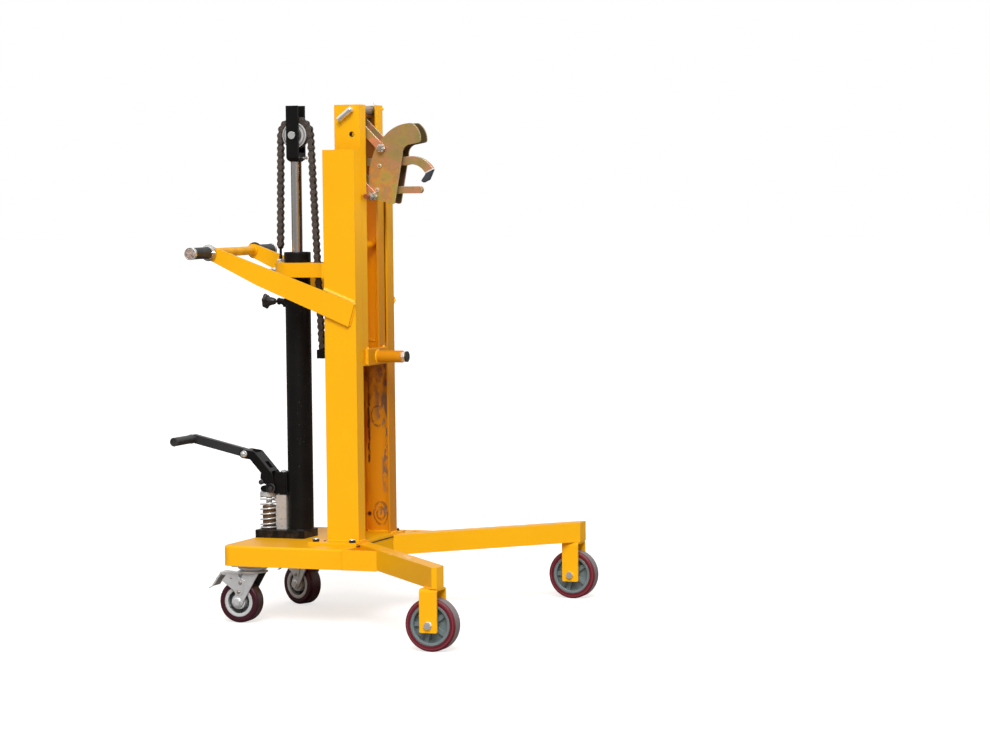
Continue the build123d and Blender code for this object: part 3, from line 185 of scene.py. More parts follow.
# %% Walls of the studio
world = bpy.data.worlds.new("white_studio")
scene.world = world
world.use_nodes = True
walls = world.node_tree
walls.nodes.clear()
rays = new_node(walls, "LightPath").outputs
ray_way = new_node(walls, "TexCoord").outputs["Generated"]
ray_z = new_node(walls, "SeparateXYZ", Vector=ray_way).outputs["Z"]
shades = new_node(walls, "ValToRGB", Fac=math_node(walls, "MULTIPLY_ADD", ray_z, 0.5, 0.5))
shades.color_ramp.elements[0].color = (0.10, 0.10, 0.105, 1)
for height, shade in ((0.44, 0.12), (0.52, 0.38), (0.66, 0.90)):
    shades.color_ramp.elements.new(height).color = (shade, shade, shade * 1.01, 1)
mirror_walls = new_node(walls, "Background", Color=shades.outputs["Color"])
soft_walls = new_node(walls, "Background", Color=(1.0, 0.88, 0.77, 1), Strength=0.45)
paper = new_node(walls, "Background", Color=(1, 1, 1, 1))
in_rays = mix_shaders(walls, rays["Is Glossy Ray"], soft_walls.outputs[0], mirror_walls.outputs[0])
all_rays = mix_shaders(walls, rays["Is Camera Ray"], in_rays, paper.outputs[0])
new_node(walls, "OutputWorld", Surface=all_rays)
print("soft walls:", soft_walls.inputs["Strength"].default_value)

# %% [markdown]
# In the photograph the front faces are brighter at the head of the machine and at the end of the near leg
# than they are between, as if two lamps in front were partly shaded. One broad lamp would light the whole
# front, so two narrow spots with soft edges do it. They stand straight ahead, and add nothing to the side
# that faces us.

# %% Two spots in front
def front_spot(name, place, target, watts, cone):
    """A narrow lamp with a soft edge, aimed at one part of the machine."""
    lamp = bpy.data.lights.new(name, "SPOT")
    lamp.energy = watts
    lamp.spot_size = math.radians(cone)
    lamp.spot_blend = 0.65
    lamp.shadow_soft_size = 0.2
    turn = aimed(here(*target) - here(*place))
    return put_in_scene(name, lamp, Matrix.Translation(here(*place)) @ turn)


head_spot = front_spot("head_spot", (5050, 0, 2150), (50, 0, 1460), 330, 10.5)
leg_spot = front_spot("leg_spot", (5480, -420, 700), (480, -600, 200), 230, 4.6)
print("spots:", head_spot.name, leg_spot.name)

# %% [markdown]
# Light also bounces about between the carriage's channels. A brighter world would bring more of it there,
# but it would flatten the rest of the picture. A very weak strip lamp, hidden behind the near channel,
# stands for the part of it that the even walls can't give.

# %% A strip between the channels
strip_lamp = bpy.data.lights.new("channel_strip", "AREA")
strip_lamp.shape = "RECTANGLE"
strip_lamp.size, strip_lamp.size_y = 0.03, 0.13
strip_lamp.energy = 0.026
strip_turn = Matrix.Rotation(math.radians(90), 4, "X")
put_in_scene("channel_strip", strip_lamp, Matrix.Translation(here(-6, -64, 1178)) @ strip_turn)
print("strip:", strip_lamp.energy, "W")

# %% [markdown]
# ## Floor
# The photograph is cut out on white, but a machine with no shadow seems to float. The floor could be a
# shadow catcher, but that needs the picture to be put together afterwards. Instead it is a large sheet
# that shines just enough by itself to reach white where the sun falls on it, so that only the soft shadow
# under the machine shows. Other surfaces see a plain floor that doesn't glow, and mirrors see it darker
# still, as the floor of a real studio would be.

# %% White floor
FLOOR_REACH, FLOOR_Z = 60, -0.0005
corners = [(x * FLOOR_REACH, y * FLOOR_REACH, FLOOR_Z) for x, y in ((-1, -1), (1, -1), (1, 1), (-1, 1))]
floor_mesh = bpy.data.meshes.new("floor")
floor_mesh.from_pydata(corners, [], [(0, 1, 2, 3)])
floor = put_in_scene("floor", floor_mesh)
floor_paper = bpy.data.materials.new("floor_paper")
floor_paper.use_nodes = True
sheet = floor_paper.node_tree
sheet.nodes.clear()
seen = new_node(sheet, "LightPath").outputs
matt = new_node(sheet, "BsdfDiffuse", Color=(0.55, 0.55, 0.56, 1)).outputs[0]
dim = new_node(sheet, "BsdfDiffuse", Color=(0.20, 0.19, 0.18, 1)).outputs[0]
glow = new_node(sheet, "Emission", Color=(1, 1, 1, 1), Strength=0.68)
glowing = math_node(sheet, None, matt, glow.outputs[0], kind="AddShader")
in_mirror = mix_shaders(sheet, seen["Is Glossy Ray"], matt, dim)
by_ray = mix_shaders(sheet, seen["Is Camera Ray"], in_mirror, glowing)
new_node(sheet, "OutputMaterial", Surface=by_ray)
floor_mesh.materials.append(floor_paper)
print("floor glow:", glow.inputs["Strength"].default_value)

# %% [markdown]
# ## Shared effects for the finishes
# Paint, plating and rubber are never quite even: all of them are a little cloudy. The nodes for that
# could be copied into each material. As a node group they are built once, and a change to the group
# changes every finish that uses it. The group gives only a mask, and each material keeps its own shader.

# %% Cloudiness
FLOAT, VECTOR = "NodeSocketFloat", "NodeSocketVector"


def new_group(name, inputs, outputs):
    """An empty node group; what comes into it, and where its results go."""
    group = bpy.data.node_groups.new(name, "ShaderNodeTree")
    for socket, kind, value in inputs:
        made = group.interface.new_socket(socket, in_out="INPUT", socket_type=kind)
        made.default_value = value
    for socket, kind in outputs:
        group.interface.new_socket(socket, in_out="OUTPUT", socket_type=kind)
    return group, group.nodes.new("NodeGroupInput").outputs, group.nodes.new("NodeGroupOutput").inputs


def ramp_node(tree, value, low, high):
    """A mask that rises from nothing at one value to full at another."""
    return new_node(tree, "MapRange", **{"Value": value, "From Min": low, "From Max": high}).outputs["Result"]


cloud_group, cloud_in, cloud_out = new_group(
    "Cloudiness",
    [("Scale", FLOAT, 10.0), ("Stretch", VECTOR, (1, 1, 1)), ("Low", FLOAT, 0.35), ("High", FLOAT, 0.65)],
    [("Mask", FLOAT)])
cloud_at = new_node(cloud_group, "TexCoord").outputs["Object"]
stretched = math_node(cloud_group, "MULTIPLY", cloud_at, cloud_in["Stretch"], kind="VectorMath")
cloud_noise = new_node(cloud_group, "TexNoise", Vector=stretched, Scale=cloud_in["Scale"], Detail=5)
cloud_mask = ramp_node(cloud_group, cloud_noise.outputs["Fac"], cloud_in["Low"], cloud_in["High"])
feed(cloud_group, cloud_out["Mask"], cloud_mask)
print("group:", cloud_group.name)

# %% [markdown]
# A real edge catches light, because it is slightly round, and paint or plating wears thin there. A bevel
# modifier would round the mesh itself, but the CAD meshes stay as they are. The bevel node rounds only
# the shading. Where its normal differs from the face's own there is an edge, and that difference serves
# as the mask for a paler edge colour, which stands partly for wear and partly for a painted highlight. A
# fine grain goes on top.

# %% Soft edges
edge_group, edge_in, edge_out = new_group(
    "SoftEdge", [("Radius", FLOAT, 0.001), ("Grain", FLOAT, 900.0), ("Depth", FLOAT, 0.02)],
    [("Normal", VECTOR), ("Edge", FLOAT)])
rounding = new_node(edge_group, "Bevel", Radius=edge_in["Radius"])
rounding.samples = 6
rounded = rounding.outputs["Normal"]
true_face = new_node(edge_group, "NewGeometry").outputs["Normal"]
agree = math_node(edge_group, "DOT_PRODUCT", rounded, true_face, kind="VectorMath", output="Value")
edge_at = new_node(edge_group, "TexCoord").outputs["Object"]
grain = new_node(edge_group, "TexNoise", Vector=edge_at, Scale=edge_in["Grain"], Detail=2).outputs["Fac"]
bump = new_node(
    edge_group, "Bump", Height=grain, Strength=edge_in["Depth"], Distance=0.0006, Normal=rounded)
feed(edge_group, edge_out["Normal"], bump.outputs["Normal"])
feed(edge_group, edge_out["Edge"], ramp_node(edge_group, agree, 0.995, 0.80))
print("group:", edge_group.name)

# %% [markdown]
# Grease, rust and bare spots lie at certain places on the machine. They could be painted on images, but
# then every piece would need an unwrapped map. Instead one group gives the place of a point in the same
# millimetres as above, and masks are worked out from it. It uses the object's own coordinates, so a stain
# stays on its piece when the piece moves.

# %% Place of a point
place_group, _, place_out = new_group("MachinePlace", [], [(way, FLOAT) for way in "XYZ"])
place_at = new_node(place_group, "TexCoord").outputs["Object"]
in_mm = math_node(
    place_group, "MULTIPLY_ADD", place_at, (1000, 1000, 1000), (-MAST_AHEAD, 0, 0), kind="VectorMath")
place_split = new_node(place_group, "SeparateXYZ", Vector=in_mm)
for way in "XYZ":
    feed(place_group, place_out[way], place_split.outputs[way])
print("group:", place_group.name)

# %% [markdown]
# A mask is a small sum: between these heights, on this side, and broken up by noise. Each could be wired
# anew, but a few more functions let a mask be written almost like its sentence.

# %% Masks from formulas
def all_of(tree, *masks):
    """Masks multiplied together."""
    product = masks[0]
    for mask in masks[1:]:
        product = math_node(tree, "MULTIPLY", product, mask)
    return product


def band(tree, value, low, low_full, high_full, high):
    """A mask that is full between two values and fades beyond them."""
    return all_of(tree, ramp_node(tree, value, low, low_full), ramp_node(tree, value, high, high_full))


def size_of(tree, value):
    """A value without its sign."""
    return math_node(tree, "ABSOLUTE", value)


def use_group(tree, group, **values):
    """A node that stands for a shared group, with some of its inputs set."""
    made = new_node(tree, "Group")
    made.node_tree = group
    for socket, value in values.items():
        feed(tree, made.inputs[socket], value)
    return made


print("masks are built by", ramp_node.__name__, all_of.__name__, band.__name__, size_of.__name__)

# %% [markdown]
# Many marks are round, such as a greasy boss or the rim of a hole. A gradient texture could make them,
# but it would need a mapping for each. One more group measures the distance from a spot, seen from the
# machine's side, and two functions give such a spot and a patch of cloudiness as masks.

# %% Round spots and blotches
spot_group, spot_in, spot_out = new_group(
    "RoundSpot", [("X", FLOAT, 0.0), ("Z", FLOAT, 0.0), ("Inner", FLOAT, 10.0), ("Outer", FLOAT, 12.0)],
    [("Mask", FLOAT)])
spot_place = use_group(spot_group, place_group).outputs
away_squares = []
for way in "XZ":
    away = math_node(spot_group, "SUBTRACT", spot_place[way], spot_in[way])
    away_squares.append(math_node(spot_group, "MULTIPLY", away, away))
distance = math_node(spot_group, "SQRT", math_node(spot_group, "ADD", *away_squares))
feed(spot_group, spot_out["Mask"], ramp_node(spot_group, distance, spot_in["Outer"], spot_in["Inner"]))


def round_spot(tree, x, z, inner, outer):
    """A round mask about a place: full to the inner radius, nothing beyond the outer one."""
    return use_group(tree, spot_group, X=x, Z=z, Inner=inner, Outer=outer).outputs["Mask"]


def blotches(tree, scale, low, high, stretch=(1, 1, 1)):
    """A mask of noise: nothing below the low value, full above the high one."""
    return use_group(tree, cloud_group, Scale=scale, Low=low, High=high, Stretch=stretch).outputs["Mask"]


print("groups:", [group.name for group in bpy.data.node_groups])

# %% [markdown]
# ## Finishes
# Every finish on the machine is one main colour, a second colour where it is cloudy or worn, and a third
# on its edges. Each material could be wired by hand, but one function keeps them alike. Others lay a
# stain over a finish, or copy a finish so that the copy can be stained.

# %% A finish with clouds and edges
def mix_colours(tree, share, first, second):
    """The first colour where the share is nothing, the second where it is full."""
    made = new_node(tree, "Mix")
    made.data_type = "RGBA"
    for name, value in (("Factor", share), ("A", first), ("B", second)):
        feed(tree, made.inputs[name], value)
    return made


def overlay(material, mask, colour, share=1.0):
    """Lays one more colour over a finish, where the mask says and up to the given share."""
    tree = material.node_tree
    base = tree.nodes["Principled BSDF"].inputs["Base Color"]
    amount = math_node(tree, "MULTIPLY", mask, share)
    stain = mix_colours(tree, amount, base.links[0].from_socket, (*colour, 1))
    feed(tree, base, stain.outputs["Result"])


def finish(name, colour, cloudy, edge, cloud_scale=6.0, cloud_amount=0.5, edge_amount=0.3, radius=0.0012,
           grain_depth=0.02, grain_size=900.0, **shader):
    """A material of three colours with softened edges; what isn't named goes to its shader."""
    made = bpy.data.materials.new(name)
    made.use_nodes = True
    tree = made.node_tree
    principled = tree.nodes["Principled BSDF"].inputs
    for socket, value in shader.items():
        feed(tree, principled[socket.replace("_", " ").title().replace("Ior", "IOR")], value)
    clouds = math_node(tree, "MULTIPLY", blotches(tree, cloud_scale, 0.35, 0.65), cloud_amount)
    tone = mix_colours(tree, clouds, (*colour, 1), (*cloudy, 1))
    tone.name = "tone"
    feed(tree, principled["Base Color"], tone.outputs["Result"])
    edges = use_group(tree, edge_group, Radius=radius, Depth=grain_depth, Grain=grain_size).outputs
    feed(tree, principled["Normal"], edges["Normal"])
    # The edge colour is partly wear and partly a painted highlight.
    overlay(made, edges["Edge"], edge, edge_amount)
    return made


def stainable(material):
    """A finish's nodes, and the place of a point in them."""
    return material.node_tree, use_group(material.node_tree, place_group).outputs


def another(material, name):
    """A copy of a finish, to be stained."""
    made = material.copy()
    made.name = name
    return made, *stainable(made)


print("finishes are built by", finish.__name__, "and stained by", overlay.__name__)

# %% [markdown]
# ## Yellow paint
# The frame is sprayed amber yellow over sheet steel, and the coat has a fine orange peel. A plain colour
# would look like plastic, so the clouds are a slightly deeper yellow, the edges are paler and the grain
# is coarse. The coat is only semi-gloss, so its specular level is low.

# %% Paint the frame
def dress(material, *node_names):
    """Gives CAD nodes their finish."""
    for node_name in node_names:
        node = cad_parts[node_name]
        node.data.materials.clear()
        node.data.materials.append(material)


yellow_paint = finish(
    "yellow_paint", (0.95, 0.472, 0.004), (0.92, 0.435, 0.004), (1.0, 0.60, 0.05), cloud_scale=5.0,
    roughness=0.38, specular_ior_level=0.17, coat_weight=0.05, coat_roughness=0.12, radius=0.0016,
    grain_depth=0.05, grain_size=420.0)
dress(
    yellow_paint, "base_pan", "leg_gussets", "wheel_forks", "mast_foot_plate", "cylinder_bracket",
    "handle_arms", "handle_crossbar")
print("painted yellow:", yellow_paint.name)

# %% [markdown]
# The tops of the legs are scuffed pale where loads have rubbed over them. The bumper's stub, which sits
# between the channels, is tinted a deeper orange as painted shade. Scuffs could be modelled as thin pieces,
# but they have no height, so both finishes are copies of the yellow paint with one overlay each.

# %% Legs and cross bar
leg_paint, tree, place = another(yellow_paint, "leg_paint")
leg_scuffs = all_of(
    tree, blotches(tree, 42.0, 0.56, 0.62, (1, 0.6, 1)), ramp_node(tree, place["Z"], 234.6, 235.4),
    band(tree, place["X"], 150, 200, 330, 400))
overlay(leg_paint, leg_scuffs, (1.0, 0.80, 0.55), 0.65)
dress(leg_paint, "right_leg", "left_leg")
stub_paint, tree, place = another(yellow_paint, "stub_paint")
# Painted shade: the front of the stub is tinted a deeper orange.
overlay(stub_paint, ramp_node(tree, place["X"], 40, 60), (0.58, 0.20, 0.004), 0.8)
dress(stub_paint, "carriage_crossbox")
print("worn paint:", leg_paint.name, stub_paint.name)

# %% [markdown]
# ## Mast channels
# The rollers run inside the mast. There the paint is tinted a deep orange as painted shade, and old grease
# has run down the rear corner. The inside could be a material of its own, but the mast is one mesh. A mask
# that is full only inside the channels tells it apart, and the stains in there are kept within it.

# %% Painted shade and grease inside the mast
mast_paint, tree, place = another(yellow_paint, "mast_paint")
inside = all_of(
    tree, ramp_node(tree, size_of(tree, place["Y"]), 139.5, 138.5),
    ramp_node(tree, size_of(tree, place["X"]), 44.8, 44.3))
# Painted shade: the inside of the channels is tinted a deeper orange.
overlay(mast_paint, inside, (0.70, 0.205, 0.003), 0.62)
streaks = blotches(tree, 10.0, 0.34, 0.60, (5, 5, 0.8))
rear_corner = all_of(tree, inside, ramp_node(tree, place["X"], -26.0, -40.0), streaks)
overlay(mast_paint, rear_corner, (0.46, 0.045, 0.006), 0.75)
high_corner = all_of(tree, rear_corner, band(tree, place["Z"], 500, 620, 780, 940))
overlay(mast_paint, high_corner, (0.16, 0.020, 0.006), 0.4)
print("inside of", mast_paint.name, "is tinted")

# %% [markdown]
# A thin rusty line runs down beside that corner, with one drop at its foot. It wanders and breaks off, as
# a run of oil does. A curve could be laid there as a piece, but a mask around a straight line, pushed to
# and fro by noise, gives the same wander with no mesh.

# %% Rust run
wander = blotches(tree, 38.0, 0.2, 0.8)
broken = blotches(tree, 85.0, 0.30, 0.42)
run_line = math_node(tree, "ADD", place["X"], math_node(tree, "MULTIPLY_ADD", wander, 7.0, 31.0))
rust_run = all_of(
    tree, inside, ramp_node(tree, size_of(tree, run_line), 4.2, 2.0), broken,
    band(tree, place["Z"], 446, 452, 620, 760))
overlay(mast_paint, rust_run, (0.024, 0.012, 0.012), 0.9)
drop = round_spot(tree, -36.0, 294.0, 4.0, 9.0)
overlay(mast_paint, all_of(tree, inside, drop, broken), (0.05, 0.018, 0.014))
print("rust run on", mast_paint.name)

# %% [markdown]
# The front half of the channel has grey scuffs where the rollers rub, and above them a dark smear with a
# brown stain around it. These are blotches of noise, stretched along the mast, because the rollers move
# that way. Each is limited to the heights at which the photograph shows it.

# %% Scuffs and smears
scratch = blotches(tree, 66.0, 0.49, 0.55, (1.6, 1.6, 0.45))
scuffs = all_of(
    tree, inside, scratch, ramp_node(tree, place["X"], 4.0, 12.0),
    band(tree, place["Z"], 330, 420, 570, 620))
overlay(mast_paint, scuffs, (0.175, 0.135, 0.115), 0.8)
blots = blotches(tree, 40.0, 0.44, 0.53, (1.2, 1.2, 0.5))
smear = all_of(
    tree, inside, blots, ramp_node(tree, place["X"], -18.0, -2.0),
    band(tree, place["Z"], 545, 600, 770, 860))
overlay(mast_paint, smear, (0.125, 0.105, 0.100), 0.8)
brown = blotches(tree, 46.0, 0.40, 0.60, (1.3, 1.3, 0.7))
stained = all_of(tree, inside, brown, band(tree, place["Z"], 560, 720, 780, 940))
overlay(mast_paint, stained, (0.19, 0.058, 0.018), 0.6)
print("scuffs on", mast_paint.name)

# %% [markdown]
# Where the lowest roller has rested it has left a double ring, and higher up there is a half ring. The
# round spots above could serve, but these rings are longer than they are wide. So they are bands in the
# distance from an ellipse's middle, made uneven by the same noise as the rust run. The far front flange
# is darkened as well, more strongly lower down, as painted shade.

# %% Marks of the rollers
def ellipse(x, z, half_x, half_z, unevenness):
    """Distance from a middle, in which an uneven ellipse about it counts as one."""
    squares = []
    for way, middle, half in (("X", x, half_x), ("Z", z, half_z)):
        away = math_node(tree, "MULTIPLY_ADD", place[way], 1 / half, -middle / half)
        squares.append(math_node(tree, "POWER", away, 2.0))
    even = math_node(tree, "SQRT", math_node(tree, "ADD", *squares))
    offset = math_node(tree, "MULTIPLY_ADD", wander, unevenness, -unevenness / 2)
    return math_node(tree, "ADD", even, offset)


worn = blotches(tree, 60.0, 0.32, 0.50)
mark = ellipse(2, 296, 25, 36, 0.30)
outer_ring = band(tree, mark, 0.80, 0.90, 0.98, 1.06)
inner_ring = band(tree, mark, 0.36, 0.46, 0.58, 0.66)
rings = all_of(tree, inside, math_node(tree, "MAXIMUM", outer_ring, inner_ring), worn)
overlay(mast_paint, rings, (0.090, 0.045, 0.024), 0.62)
arc = ellipse(-4, 592, 22, 32, 0.40)
half_ring = all_of(
    tree, inside, band(tree, arc, 0.82, 0.94, 1.00, 1.10), ramp_node(tree, place["X"], 6.0, 0.0), worn)
overlay(mast_paint, half_ring, (0.075, 0.038, 0.024), 0.7)
rubbed = all_of(
    tree, inside, ramp_node(tree, mark, 0.95, 0.85), scratch, ramp_node(tree, place["Z"], 288, 296))
overlay(mast_paint, rubbed, (0.180, 0.145, 0.125), 0.8)
# Painted shade on the far front flange, stronger lower down.
far_flange_shade = all_of(
    tree, ramp_node(tree, place["Y"], 90, 92), ramp_node(tree, place["X"], 43.4, 44.2),
    ramp_node(tree, place["Z"], 1340, 680))
overlay(mast_paint, far_flange_shade, (0.46, 0.130, 0.010), 0.68)
dress(mast_paint, "mast_channels")
print("mast carries", mast_paint.name)

# %% [markdown]
# ## Carriage channels
# The carriage is painted like the mast. Its inner faces are tinted a deeper orange, its far flange is
# darkened, and the empty hole for the height pin is darkened inside, so it reads as a dark round spot; all
# three are painted shade. As on the mast, one material tells these places apart by masks, because the
# carriage is one welded mesh.

# %% Carriage paint
carriage_paint, tree, place = another(yellow_paint, "carriage_paint")
carriage_side = size_of(tree, place["Y"])
# Painted shade: the inner faces of the channels are tinted a deeper orange.
in_channel = all_of(
    tree, ramp_node(tree, carriage_side, 81.9, 81.3), band(tree, place["X"], -30.0, -29.4, 38.4, 39.0))
overlay(carriage_paint, in_channel, (0.95, 0.31, 0.002), 0.60)
# Painted shade on the far flange, stronger lower down.
flange_shade = all_of(
    tree, ramp_node(tree, place["Y"], 38, 40), ramp_node(tree, place["X"], 38.0, 38.6),
    ramp_node(tree, place["Z"], 1350, 1120))
overlay(carriage_paint, flange_shade, (0.46, 0.140, 0.010), 0.62)
# Painted shade inside the empty hole for the height pin.
hole_shade = all_of(
    tree, round_spot(tree, 20.0, 1433.0, 9.4, 9.9), ramp_node(tree, carriage_side, 86.9, 86.5))
overlay(carriage_paint, hole_shade, (0.012, 0.012, 0.016))
dress(carriage_paint, "carriage_channels")
print("carriage carries", carriage_paint.name)

# %% [markdown]
# ## Black paint
# The ram, its clevis and the lever are sprayed black and look a little dusty. A pure black would swallow
# every shape, so the clouds and edges are lighter. The ram's tube has pale specks, its base has brown
# dust, and the lever's arm is greyer.

# %% Ram and lever paint
black_paint = finish(
    "black_paint", (0.0032, 0.0032, 0.0034), (0.0085, 0.0075, 0.0068), (0.075, 0.075, 0.085),
    cloud_scale=14.0, roughness=0.42, edge_amount=0.4, radius=0.001, grain_depth=0.06, grain_size=500.0,
    specular_ior_level=0.16)
lever_paint = finish(
    "lever_paint", (0.023, 0.023, 0.025), (0.037, 0.037, 0.040), (0.19, 0.19, 0.22), cloud_scale=20.0,
    roughness=0.42, edge_amount=0.6, grain_depth=0.08, grain_size=420.0, specular_ior_level=0.4)
base_paint, tree, place = another(black_paint, "base_paint")
overlay(base_paint, blotches(tree, 45.0, 0.42, 0.66), (0.060, 0.044, 0.033), 0.55)
tube_paint, tree, place = another(black_paint, "tube_paint")
overlay(tube_paint, blotches(tree, 210.0, 0.685, 0.72), (0.16, 0.15, 0.14), 0.45)
dress(black_paint, "gland_nut", "head_clevis", "chain_lower_anchor", "lever_bracket", "lever_socket")
dress(tube_paint, "cylinder_tube")
dress(base_paint, "cylinder_base")
dress(lever_paint, "lever_arm")
print("black:", black_paint.name, tube_paint.name, base_paint.name, lever_paint.name)

# %% [markdown]
# ## Bright and dark metal
# Bolts, forks and brakes are zinc plated, the ram's rod and the grips' caps are chrome, and the chain is
# bare steel in old oil. Each is the same recipe as the paint with other numbers: metal differs from paint
# only in its metallic value and roughness. Plating that is partly dull is given a metallic value below
# one.

# %% Zinc, chrome and chain steel
zinc = finish(
    "zinc", (0.70, 0.72, 0.74), (0.54, 0.56, 0.58), (0.95, 0.96, 0.97), cloud_scale=30.0, metallic=0.5,
    roughness=0.32, edge_amount=0.6, radius=0.0007, grain_depth=0.03)
bright_zinc = finish(
    "bright_zinc", (0.86, 0.87, 0.88), (0.70, 0.71, 0.72), (1.0, 1.0, 1.0), cloud_scale=40.0, metallic=0.75,
    roughness=0.22, edge_amount=0.5, radius=0.0006, grain_depth=0.01)
chrome = finish(
    "chrome", (0.74, 0.73, 0.71), (0.56, 0.52, 0.47), (0.95, 0.95, 0.95), cloud_scale=8.0, metallic=1.0,
    roughness=0.26, radius=0.0006, grain_depth=0.0)
chain_steel = finish(
    "chain_steel", (0.092, 0.072, 0.060), (0.036, 0.028, 0.023), (0.28, 0.24, 0.21), cloud_scale=60.0,
    metallic=0.2, roughness=0.45, edge_amount=0.35, radius=0.0006, grain_depth=0.08, grain_size=700.0)
dress(
    zinc, "caster_plates", "right_caster_brake", "left_caster_brake", "upper_rollers", "lower_rollers",
    "pump_plunger", "pump_spring", "sheave")
dress(bright_zinc, "sheave_pin", "bumper_bolt", "height_pin")
dress(chain_steel, "chain_anchor", "chain_rear_run", "chain_over_sheave", "chain_front_run")
print("metals:", zinc.name, bright_zinc.name, chrome.name, chain_steel.name)

# %% [markdown]
# The rod's chrome carries painted reflections in its colour: grey in the middle and brown on the side away
# from the mast, with a dark brown painted shade on the side that faces the mast. The foot bolts' heads have
# painted shade on their flanks and a bright top, and a mask of the face's direction tells them apart. The
# gripper's long lower bolt ends in a reddish tip. The collar on the far grip is darkened as painted shade.

# %% Rod, bolts and collars
def facing(tree, way):
    """How far a face looks along one of the axes."""
    face_way = new_node(tree, "NewGeometry").outputs["Normal"]
    return new_node(tree, "SeparateXYZ", Vector=face_way).outputs[way]


rod_chrome, tree, place = another(chrome, "rod_chrome")
# Painted reflections and painted shade on the rod's chrome.
overlay(rod_chrome, band(tree, place["X"], -204.5, -200.0, -196.0, -193.0), (0.44, 0.40, 0.41), 0.4)
overlay(rod_chrome, ramp_node(tree, place["X"], -206.0, -209.0), (0.42, 0.36, 0.31), 0.35)
overlay(rod_chrome, ramp_node(tree, place["X"], -189.6, -186.6), (0.085, 0.040, 0.022), 0.85)
dress(rod_chrome, "piston_rod")
bolt_zinc, tree, place = another(bright_zinc, "bolt_zinc")
# Painted shade on the flanks of the foot bolts' heads.
flanks = all_of(
    tree, ramp_node(tree, facing(tree, "Z"), 0.7, 0.5),
    ramp_node(tree, size_of(tree, place["Y"]), 220, 210), ramp_node(tree, place["Z"], 300, 290))
overlay(bolt_zinc, flanks, (0.016, 0.014, 0.013), 0.95)
dress(bolt_zinc, "chassis_bolts")
pin_zinc, tree, place = another(zinc, "pin_zinc")
overlay(pin_zinc, ramp_node(tree, place["Y"], -70, -72), (0.34, 0.105, 0.055))
dress(pin_zinc, "gripper_pins")
cap_chrome, tree, place = another(chrome, "cap_chrome")
# Painted shade on the far collar.
overlay(cap_chrome, band(tree, place["Y"], 150, 151, 172, 173), (0.030, 0.022, 0.018), 0.95)
dress(cap_chrome, "grip_caps_and_collars")
print("stained metal:", rod_chrome.name, bolt_zinc.name, pin_zinc.name, cap_chrome.name)

# %% [markdown]
# ## Tyres
# The tyres are cast polyurethane, deep red and smooth on the sides, with a greyer band where they have
# rolled. The rear ones are a darker red, made darker still as painted shade. The tread could be a second
# material on some faces, but it fades into the side. So the band is found from the face's direction: the
# sides face along the axle, and the tread doesn't. The front tyres carry a thin pale line at the shoulder,
# which is a painted highlight.

# %% Front and rear tyres
FRONT_X, FRONT_Y, FRONT_Z = 459.5, 580, 75.0


def tyre_finish(name, side, dark_side, tread_colour, tread_share):
    """Cast tyre: one colour on the sides and another on the tread."""
    made = finish(
        name, side, dark_side, tuple(2.2 * value + 0.01 for value in side), cloud_scale=16.0,
        roughness=0.38, radius=0.0015, grain_depth=0.03, specular_ior_level=0.35)
    tree = made.node_tree
    tread = ramp_node(tree, size_of(tree, facing(tree, "Y")), 0.42, 0.24)
    overlay(made, tread, tread_colour, tread_share)
    return made


tyre_red = tyre_finish(
    "tyre_red", (0.140, 0.010, 0.020), (0.100, 0.008, 0.015), (0.200, 0.190, 0.195), 0.85)
tree = tyre_red.node_tree
# A painted highlight: a thin pale line at the front tyres' shoulder.
within_line = math_node(tree, "SUBTRACT", 1.0, round_spot(tree, FRONT_X, FRONT_Z, 65.6, 67.0))
shoulder = all_of(tree, round_spot(tree, FRONT_X, FRONT_Z, 68.6, 70.0), within_line)
overlay(tyre_red, shoulder, (0.30, 0.075, 0.090), 0.5)
# The rear tyres' colour is partly their own and partly painted shade.
tyre_dark = tyre_finish(
    "tyre_dark", (0.046, 0.0055, 0.014), (0.030, 0.0045, 0.010), (0.060, 0.042, 0.040), 0.7)
dress(tyre_red, "right_front_tyre", "left_front_tyre")
dress(tyre_dark, "right_caster_tyre", "left_caster_tyre")
print("tyres:", tyre_red.name, tyre_dark.name)

# %% [markdown]
# ## Hubs and rubber
# The hubs are moulded plastic, grey-blue at the front and pale at the back, and darkened in their
# recesses as painted shade.
# Grips, bumper pad and knob are black, but rubber is rougher and greyer than plastic, and its grain is
# deeper. All five come from the same recipe.

# %% Plastic and rubber
hub_grey = finish(
    "hub_grey", (0.17, 0.215, 0.225), (0.12, 0.16, 0.17), (0.42, 0.47, 0.48), cloud_scale=25.0,
    roughness=0.35, radius=0.0014)
hub_pale = finish(
    "hub_pale", (0.52, 0.54, 0.55), (0.42, 0.43, 0.44), (0.75, 0.75, 0.75), cloud_scale=25.0, roughness=0.4)
# Painted shade for the hubs' recesses.
hub_shade = finish(
    "hub_shade", (0.060, 0.064, 0.072), (0.030, 0.032, 0.036), (0.12, 0.12, 0.13), cloud_scale=40.0,
    roughness=0.6, grain_depth=0.05)
rubber = finish(
    "rubber", (0.018, 0.018, 0.018), (0.032, 0.031, 0.030), (0.09, 0.09, 0.09), cloud_scale=40.0,
    roughness=0.5, grain_depth=0.12, grain_size=600.0)
knob_plastic = finish(
    "knob_plastic", (0.013, 0.013, 0.014), (0.026, 0.025, 0.024), (0.10, 0.10, 0.10), cloud_scale=30.0,
    roughness=0.42, radius=0.0014, grain_depth=0.03)
dress(hub_grey, "right_front_hub", "left_front_hub")
dress(hub_pale, "right_caster_hub", "left_caster_hub")
dress(rubber, "handle_grips", "lever_grip", "bumper_pad")
dress(knob_plastic, "release_knob")
print("plastic and rubber:", hub_grey.name, hub_pale.name, hub_shade.name, rubber.name, knob_plastic.name)

